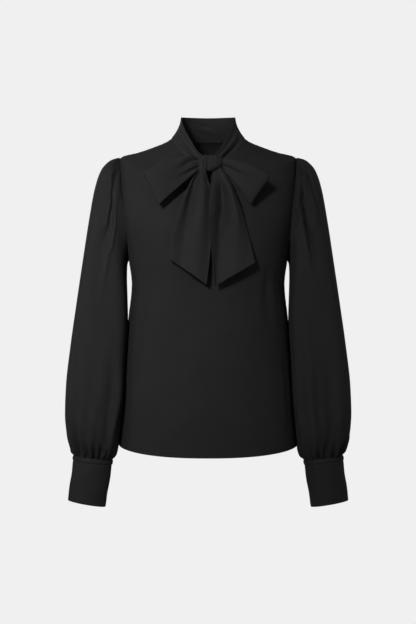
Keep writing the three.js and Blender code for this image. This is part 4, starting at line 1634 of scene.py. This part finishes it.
LOOP_RIGHT = BowLoop(
    node="bow_loop_right",
    root=((-0.015, -0.03), (-0.015, -0.05)),
    fold=((-0.118, -0.057), (-0.089, -0.115)),
    swell=0.014,
    folds=(
        Fold(
            ((0.0, 0.14), (0.04, 0.30), (0.08, 0.43), (0.14, 0.50)),
            (0.0022, 0.0065), 0.0036, 0.02, 0.7, 0.2,
        ),
        Fold(((0.0, 0.02), (0.06, 0.12), (0.16, 0.22)), (0.002, 0.006), -0.0020, 0.02, 0.7, 0.0),
        Fold(((0.0, 0.76), (0.08, 0.76), (0.16, 0.76)), (0.0024, 0.005), 0.0016, 0.02, 0.8),
        Fold(((0.0, 0.64), (0.10, 0.62), (0.24, 0.62)), (0.0024, 0.007), -0.0014, 0.02, 0.8),
        Fold(((0.76, 0.40), (0.88, 0.46), (1.0, 0.5)), (0.006, 0.0024), 0.0026, 0.7, 0.02),
    ),
)
LOOP_LEFT = BowLoop(
    node="bow_loop_left",
    flat=(0.072, 0.15),
    fold_y=-0.116,
    root=((0.0262, -0.031), (0.0262, -0.051)),
    fold=((0.112, -0.065), (0.08, -0.111)),
    swell=0.006,
    folds=(
        Fold(((0.0, 0.28), (0.10, 0.26), (0.20, 0.24)), (0.0024, 0.005), 0.0014, 0.02, 0.8),
        Fold(((0.0, 0.54), (0.14, 0.50), (0.30, 0.46)), (0.0026, 0.007), 0.0020, 0.02, 0.8),
        Fold(((0.0, 0.76), (0.10, 0.76), (0.20, 0.78)), (0.0024, 0.005), 0.0012, 0.02, 0.8),
        Fold(((0.0, 0.42), (0.14, 0.36), (0.30, 0.30)), (0.0024, 0.007), -0.0014, 0.02, 0.8),
        Fold(((0.76, 0.40), (0.88, 0.46), (1.0, 0.5)), (0.006, 0.0024), 0.0026, 0.7, 0.02),
    ),
)
TAIL_NAMES = ("row", "leftX", "leftZ", "rightX", "rightZ", "y", "fold")
TAIL_RIGHT = BowTail(
    node="bow_tail_right",
    lean_left=0.006,
    narrow=0.1,
    ridge_from=0.0,
    edges=Table(
        TAIL_NAMES,
        (
            (0.0, -0.019, -0.032, -0.0115, -0.033, -0.1058, 0.0002),
            (1.0, -0.018, -0.044, -0.0075, -0.045, -0.1103, 0.0003),
            (2.0, -0.018, -0.055, -0.0035, -0.057, -0.112, 0.0006),
            (3.0, -0.029, -0.069, -0.0005, -0.071, -0.116, 0.0022),
            (4.0, -0.041, -0.095, 0.006, -0.092, -0.127, 0.0048),
            (5.0, -0.0535, -0.128, 0.0065, -0.134, -0.134, 0.0052),
            (6.0, -0.0655, -0.166, 0.005, -0.19, -0.136, 0.004),
            (7.0, -0.0735, -0.215, -0.003, -0.264, -0.133, 0.0022),
        ),
    ),
    folds=(
        Fold(
            ((0.20, 0.16), (0.45, 0.24), (0.70, 0.28), (0.90, 0.30)),
            (0.003, 0.008), 0.0030, 0.3, 0.5, 0.1,
        ),
        Fold(((0.15, 0.50), (0.45, 0.66), (0.92, 0.74)), (0.003, 0.008), -0.0024, 0.3, 0.4, 0.0),
    ),
)
TAIL_LEFT = BowTail(
    node="bow_tail_left",
    lean_right=0.008,
    narrow=0.1,
    waves=1.18,
    ridge_from=-0.07,
    shrink=((0.0, 1.5), (0.3, 1.5), (0.55, 1.25), (0.8, 0.72), (1.0, 0.36)),
    flat=(0.074, 0.215),
    edges=Table(
        TAIL_NAMES,
        (
            (0.0, 0.0085, -0.0505, 0.0225, -0.0475, -0.1, 0.0002),
            (1.0, 0.0065, -0.07, 0.036, -0.067, -0.107, 0.0022),
            (2.0, 0.003, -0.095, 0.049, -0.093, -0.116, 0.0088),
            (3.0, 0.0015, -0.136, 0.062, -0.13, -0.1236, 0.0106),
            (4.0, 0.006, -0.195, 0.074, -0.175, -0.1262, 0.006),
            (5.0, 0.0125, -0.267, 0.086, -0.224, -0.131, 0.0026),
        ),
    ),
    folds=(
        Fold(
            ((0.08, 0.60), (0.35, 0.74), (0.60, 0.66), (0.92, 0.46)),
            (0.003, 0.008), -0.0016, 0.3, 0.5, 0.1,
        ),
    ),
)


@dataclass(frozen=True)
class Knot:
    """The knot: cloth wrapped over the middle of the bow, drawn in at both ends."""

    sections: Table = Table(
        ("x", "halfHeight", "halfDepth", "z"),
        (
            (-0.014, 0.0098, 0.006, -0.038),
            (-0.01, 0.0145, 0.0116, -0.0395),
            (-0.005, 0.016, 0.0144, -0.04),
            (-0.001, 0.016, 0.0122, -0.04),
            (0.005, 0.0162, 0.0146, -0.0402),
            (0.014, 0.0146, 0.0132, -0.0385),
            (0.02, 0.0126, 0.0104, -0.0373),
            (0.025, 0.0088, 0.0056, -0.0362),
        ),
    )
    y: float = -0.0935
    square: float = 2.5  # above 2 it is boxier than an ellipse
    lean: float = 0.3  # how far its upper side lies back, to one of height
    pleats: tuple[tuple[float, float, float], ...] = (
        (-0.0098, 0.0016, 0.0007),
        (-0.001, 0.0012, 0.0009),
        (0.0052, 0.0026, -0.0005),
        (0.0118, 0.0022, 0.0006),
        (0.0182, 0.0016, 0.0006),
    )  # place along the knot, half width and depth of each fold that runs over it
    sway: float = 0.0012  # how far those folds wander as they run round
    sway_shift: float = 300  # radians to a metre along the knot
    flat: tuple[float, float] = (0.044, 0.095)
    columns: int = 120
    rows: int = 64

    def build(self) -> bpy.types.Object:
        """Makes the knot.

        Returns:
            The piece.
        """
        first, last = self.sections.rows[0][0], self.sections.rows[-1][0]
        places = np.linspace(first, last, self.rows + 1)
        turns = np.arange(self.columns) * TURN / self.columns
        x, turn = np.meshgrid(places, turns, indexing="ij")
        shape = {name: self.sections.at(name, x) for name in self.sections.names[1:]}
        rise = shape["halfHeight"] * power(np.cos(turn), 2 / self.square)
        forward = shape["halfDepth"] * power(np.sin(turn), 2 / self.square)
        points = np.stack([x, self.y - forward + self.lean * rise, shape["z"] + rise], axis=-1)
        centre = np.stack([x, np.full_like(x, self.y), shape["z"]], axis=-1)
        grid = ClothGrid(points, points - centre, closed=True)
        way = np.zeros_like(x)
        for place, wide, deep in self.pleats:
            bend = place + self.sway * np.sin(turn * 2 + place * self.sway_shift)
            way -= deep * np.exp(-(((x - bend) / wide) ** 2))
        grid.push(way)
        return grid.sew("bow_knot_cloth", DOUBLE)

    def dress(self, piece: bpy.types.Object, finish: bpy.types.Material) -> None:
        """Gives the knot its finish and ties it to the blouse."""
        hang(piece, "bow_knot", finish)


@dataclass(frozen=True)
class CuffButtons:
    """The small four-hole buttons on the cuffs' laps, each sewn on with two stitches."""

    form: CuffForm = CuffForm()
    places: tuple[float, ...] = (0.27, 0.74)  # shares of the way down the cuff
    radius: float = 0.0055
    thick: float = 0.0024
    edge: float = 0.0006  # depth of the dish inside the rim
    rim: float = 1.6  # width of the rim, in edges
    slope: float = 0.8  # width of the slope inside it, in edges
    dish: float = 0.25  # share of the radius from the slope to the middle's edge
    soft: float = 0.45  # width of the rounded edges, in edges
    hole: float = 0.0007
    hole_apart: float = 0.0013
    thread: float = 0.00038
    flatten: float = 0.62  # how flat the stitches are drawn
    probe: float = 0.02  # share of the cuff over which its slope is measured

    def seat(self, share: float) -> Matrix:
        """The place and direction of a button on the left cuff.

        Args:
            share: Its share of the way down the cuff.

        Returns:
            The matrix that moves a button there from the origin.
        """
        degrees = np.array([self.form.lap_turn + 360 + self.form.lap / 2])
        down = np.array([share])
        centre = self.form.point(degrees, down)[0]
        around = self.form.point(degrees + 1, down)[0] - self.form.point(degrees - 1, down)[0]
        above, below = (self.form.point(degrees, down + step)[0] for step in (-self.probe, self.probe))
        out = Vector(np.cross(around, below - above)).normalized()
        if out.y < 0:
            out.negate()
        across = Vector(around).normalized()
        up = out.cross(across)
        turned = Matrix((across, up, out)).transposed().to_4x4()
        return Matrix.Translation(Vector(centre) + out * SEAM) @ turned

    def button(self) -> bpy.types.Object:
        """Models one button at the origin, facing up.

        Returns:
            The button.
        """
        deselect_all()
        bpy.ops.mesh.primitive_cylinder_add(
            vertices=48, radius=self.radius, depth=self.thick, location=(0, 0, self.thick / 2)
        )
        button = bpy.context.active_object
        bpy.ops.object.transform_apply(location=True, rotation=True, scale=True)
        bpy.ops.object.mode_set(mode="EDIT")
        bpy.ops.mesh.select_mode(type="FACE")
        bpy.ops.mesh.select_all(action="DESELECT")
        bpy.ops.object.mode_set(mode="OBJECT")
        for polygon in button.data.polygons:
            polygon.select = polygon.normal.z > 0.9
        bpy.ops.object.mode_set(mode="EDIT")
        bpy.ops.mesh.inset(thickness=self.edge * self.rim, depth=0)
        bpy.ops.mesh.inset(thickness=self.edge * self.slope, depth=-self.edge)
        bpy.ops.mesh.inset(thickness=self.radius * self.dish, depth=0)
        bpy.ops.object.mode_set(mode="OBJECT")
        for corner in range(4):
            turn = TURN * (corner + 0.5) / 4
            place = (self.hole_apart * math.cos(turn), self.hole_apart * math.sin(turn), self.thick / 2)
            self.drill(button, place)
        apply_modifier(
            button, "BEVEL", width=self.edge * self.soft, segments=3, limit_method="ANGLE", angle_limit=0.7
        )
        work_on(button)
        bpy.ops.object.shade_smooth_by_angle(angle=BUTTON_EDGE)
        return button

    def drill(self, button: bpy.types.Object, place: Place) -> None:
        """Cuts one round hole through the button.

        Args:
            button: The button.
            place: The hole's middle.
        """
        deselect_all()
        bpy.ops.mesh.primitive_cylinder_add(
            vertices=16, radius=self.hole, depth=self.thick * 2, location=place
        )
        bit = bpy.context.active_object
        apply_modifier(button, "BOOLEAN", operation="DIFFERENCE", object=bit, solver="EXACT")
        bpy.data.objects.remove(bit)

    def stitch(self) -> bpy.types.Object:
        """Models the two stitches of one button at the origin.

        Returns:
            The stitches, as one object.
        """
        span = self.hole_apart * math.sin(math.pi / 4)
        bars = []
        for side in (-1, 1):
            deselect_all()
            bpy.ops.mesh.primitive_torus_add(
                major_radius=span, minor_radius=self.thread, major_segments=28, minor_segments=10,
                location=(0, side * span, self.thick - self.edge), rotation=(math.pi / 2, 0, 0),
            )
            bars.append(bpy.context.active_object)
        for bar in bars:
            bar.select_set(True)
        bpy.ops.object.join()
        stitches = bpy.context.active_object
        bpy.ops.object.transform_apply(location=True, rotation=True, scale=True)
        bpy.ops.object.mode_set(mode="EDIT")
        bpy.ops.mesh.select_all(action="SELECT")
        bpy.ops.transform.resize(
            value=(1, 1, self.flatten), center_override=(0, 0, self.thick - self.edge)
        )
        bpy.ops.object.mode_set(mode="OBJECT")
        work_on(stitches)
        bpy.ops.object.shade_smooth_by_angle(angle=THREAD_EDGE)
        return stitches

    def build(self, finishes: Finishes) -> None:
        """Makes every button with its stitches, each from a copy of the first.

        Args:
            finishes: The materials of the blouse.
        """
        button = self.button()
        stitches = self.stitch()
        for side in Side:
            for number, share in enumerate(self.places, 1):
                node = f"cuff_button_{number}_{side.name.lower()}"
                seat = self.seat(share)
                for source, name, finish in (
                    (button, f"{node}_disc", finishes.button),
                    (stitches, f"{node}_thread", finishes.thread),
                ):
                    piece = bpy.data.objects.new(name, source.data.copy())
                    bpy.context.scene.collection.objects.link(piece)
                    piece.data.transform(seat)
                    if side is Side.RIGHT:
                        piece.data.transform(Matrix.Scale(-1, 4, (1, 0, 0)))
                        piece.data.flip_normals()
                    hang(piece, node, finish, stands_for=source is button)
        bpy.data.objects.remove(button)
        bpy.data.objects.remove(stitches)


@dataclass(frozen=True)
class Studio:
    """Camera, plain soft light, pale backdrop and pale floor."""

    distance: float = 3.3
    eye: tuple[float, float] = (-0.000285, -0.31445)  # X and Z of the camera
    frame_height: float = 1.1856  # what the frame's height shows, at the blouse
    sensor: float = 24.0
    pale: float = 0.871  # the surroundings as the camera sees them
    ambient: float = 0.07  # and as they light the blouse
    key_from: Place = (-1.12, -2.66, 1.1)
    key_aim: Place = (-0.36, -0.05, -0.16)
    key_size: float = 0.6
    key_power: float = 2.95
    key_spread: float = 34 * DEGREE
    fill_from: Place = (-2.6, -0.6, 0.2)
    fill_size: float = 1.4
    fill_power: float = 8.0
    front_from: Place = (1.7, -2.6, 0.1)
    front_size: float = 1.6
    front_power: float = 6.0
    back_from: Place = (-1.2, 2.7, 0.5)
    back_size: float = 1.6
    back_power: float = 16.0
    far_from: Place = (2.5, 1.0, 0.1)
    far_size: float = 1.4
    far_power: float = 6.0
    aim: Place = (0.0, -0.05, -0.3)
    floor_height: float = -1.4
    floor_radius: float = 1.25
    floor_shade: Colour = (0.8, 0.8, 0.8)
    floor_rough: float = 0.9

    def camera(self) -> None:
        """Adds the camera, level and straight in front of the blouse."""
        camera = bpy.data.objects.new("camera", bpy.data.cameras.new("camera"))
        camera.location = (self.eye[0], -self.distance, self.eye[1])
        camera.rotation_euler = (math.pi / 2, 0, 0)
        camera.data.sensor_fit = "VERTICAL"
        camera.data.sensor_height = self.sensor
        camera.data.lens = self.sensor * self.distance / self.frame_height
        bpy.context.scene.collection.objects.link(camera)
        bpy.context.scene.camera = camera

    def light(
        self, name: str, place: Place, aim: Place, size: float, watts: float, spread: float = math.pi
    ) -> None:
        """Adds one soft light.

        Args:
            name: Its name.
            place: Where it stands.
            aim: What it faces.
            size: The width of its disc.
            watts: Its power.
            spread: How widely it throws its light.
        """
        lamp = bpy.data.lights.new(name, "AREA")
        lamp.shape = "DISK"
        lamp.size = size
        lamp.energy = watts
        lamp.spread = spread
        light = bpy.data.objects.new(name, lamp)
        light.location = place
        light.rotation_euler = (Vector(aim) - Vector(place)).to_track_quat("-Z", "Y").to_euler()
        bpy.context.scene.collection.objects.link(light)

    def backdrop(self) -> None:
        """Sets the plain pale surroundings, which light the blouse only weakly."""
        world = bpy.data.worlds.new("studio")
        world.use_nodes = True
        bpy.context.scene.world = world
        wire = Wiring(world.node_tree)
        path = world.node_tree.nodes.new("ShaderNodeLightPath")
        shade = world.node_tree.nodes["Background"]
        shade.inputs["Color"].default_value = (1, 1, 1, 1)
        seen = wire.math("MULTIPLY", path.outputs["Is Camera Ray"], self.pale - self.ambient)
        wire.join(wire.math("ADD", seen, self.ambient), shade.inputs["Strength"])
        bpy.context.scene.view_settings.view_transform = "Standard"

    def floor(self) -> None:
        """Adds the pale floor, well below the blouse, which hangs free."""
        deselect_all()
        bpy.ops.mesh.primitive_circle_add(
            vertices=96, radius=self.floor_radius, fill_type="NGON", location=(0, 0, self.floor_height)
        )
        floor = bpy.context.active_object
        floor.name = "floor"
        bpy.ops.object.transform_apply(location=True, rotation=True, scale=True)
        material, shader, _ = start_material("floor_pale")
        shader.inputs["Base Color"].default_value = (*self.floor_shade, 1)
        shader.inputs["Roughness"].default_value = self.floor_rough
        floor.data.materials.append(material)

    def build(self) -> None:
        """Builds the whole studio."""
        self.camera()
        self.backdrop()
        self.light("key", self.key_from, self.key_aim, self.key_size, self.key_power, self.key_spread)
        self.light("side_fill", self.fill_from, self.aim, self.fill_size, self.fill_power)
        self.light("front_fill", self.front_from, self.aim, self.front_size, self.front_power)
        self.light("back_fill", self.back_from, self.aim, self.back_size, self.back_power)
        self.light("far_fill", self.far_from, self.aim, self.far_size, self.far_power)
        self.floor()


def main() -> None:
    """Builds the studio and the blouse, and logs each piece's number of faces."""
    logging.basicConfig(level=logging.INFO, format="%(name)s %(message)s")
    Studio().build()
    finishes = Finishes.build()
    panels = (
        (BodyPanel(Face.FRONT, FRONT_FOLDS, (0.47, 0.64)), finishes.front),
        (BodyPanel(Face.BACK, BACK_FOLDS, (0.44, 0.66)), finishes.back),
        (Sleeve(Side.LEFT, LEFT_SLEEVE_FOLDS, seed=5), finishes.sleeve),
        (Sleeve(Side.RIGHT, RIGHT_SLEEVE_FOLDS, seed=11), finishes.sleeve),
        (Cuff(Side.LEFT), finishes.cuff),
        (Cuff(Side.RIGHT), finishes.cuff),
        (Neckband(), finishes.band),
        (LOOP_RIGHT, finishes.bow),
        (LOOP_LEFT, finishes.bow),
        (TAIL_RIGHT, finishes.bow),
        (TAIL_LEFT, finishes.bow),
        (Knot(), finishes.bow),
    )
    for piece, finish in panels:
        piece.dress(piece.build(), finish)
    CuffButtons().build(finishes)


if __name__ == "__main__":
    main()
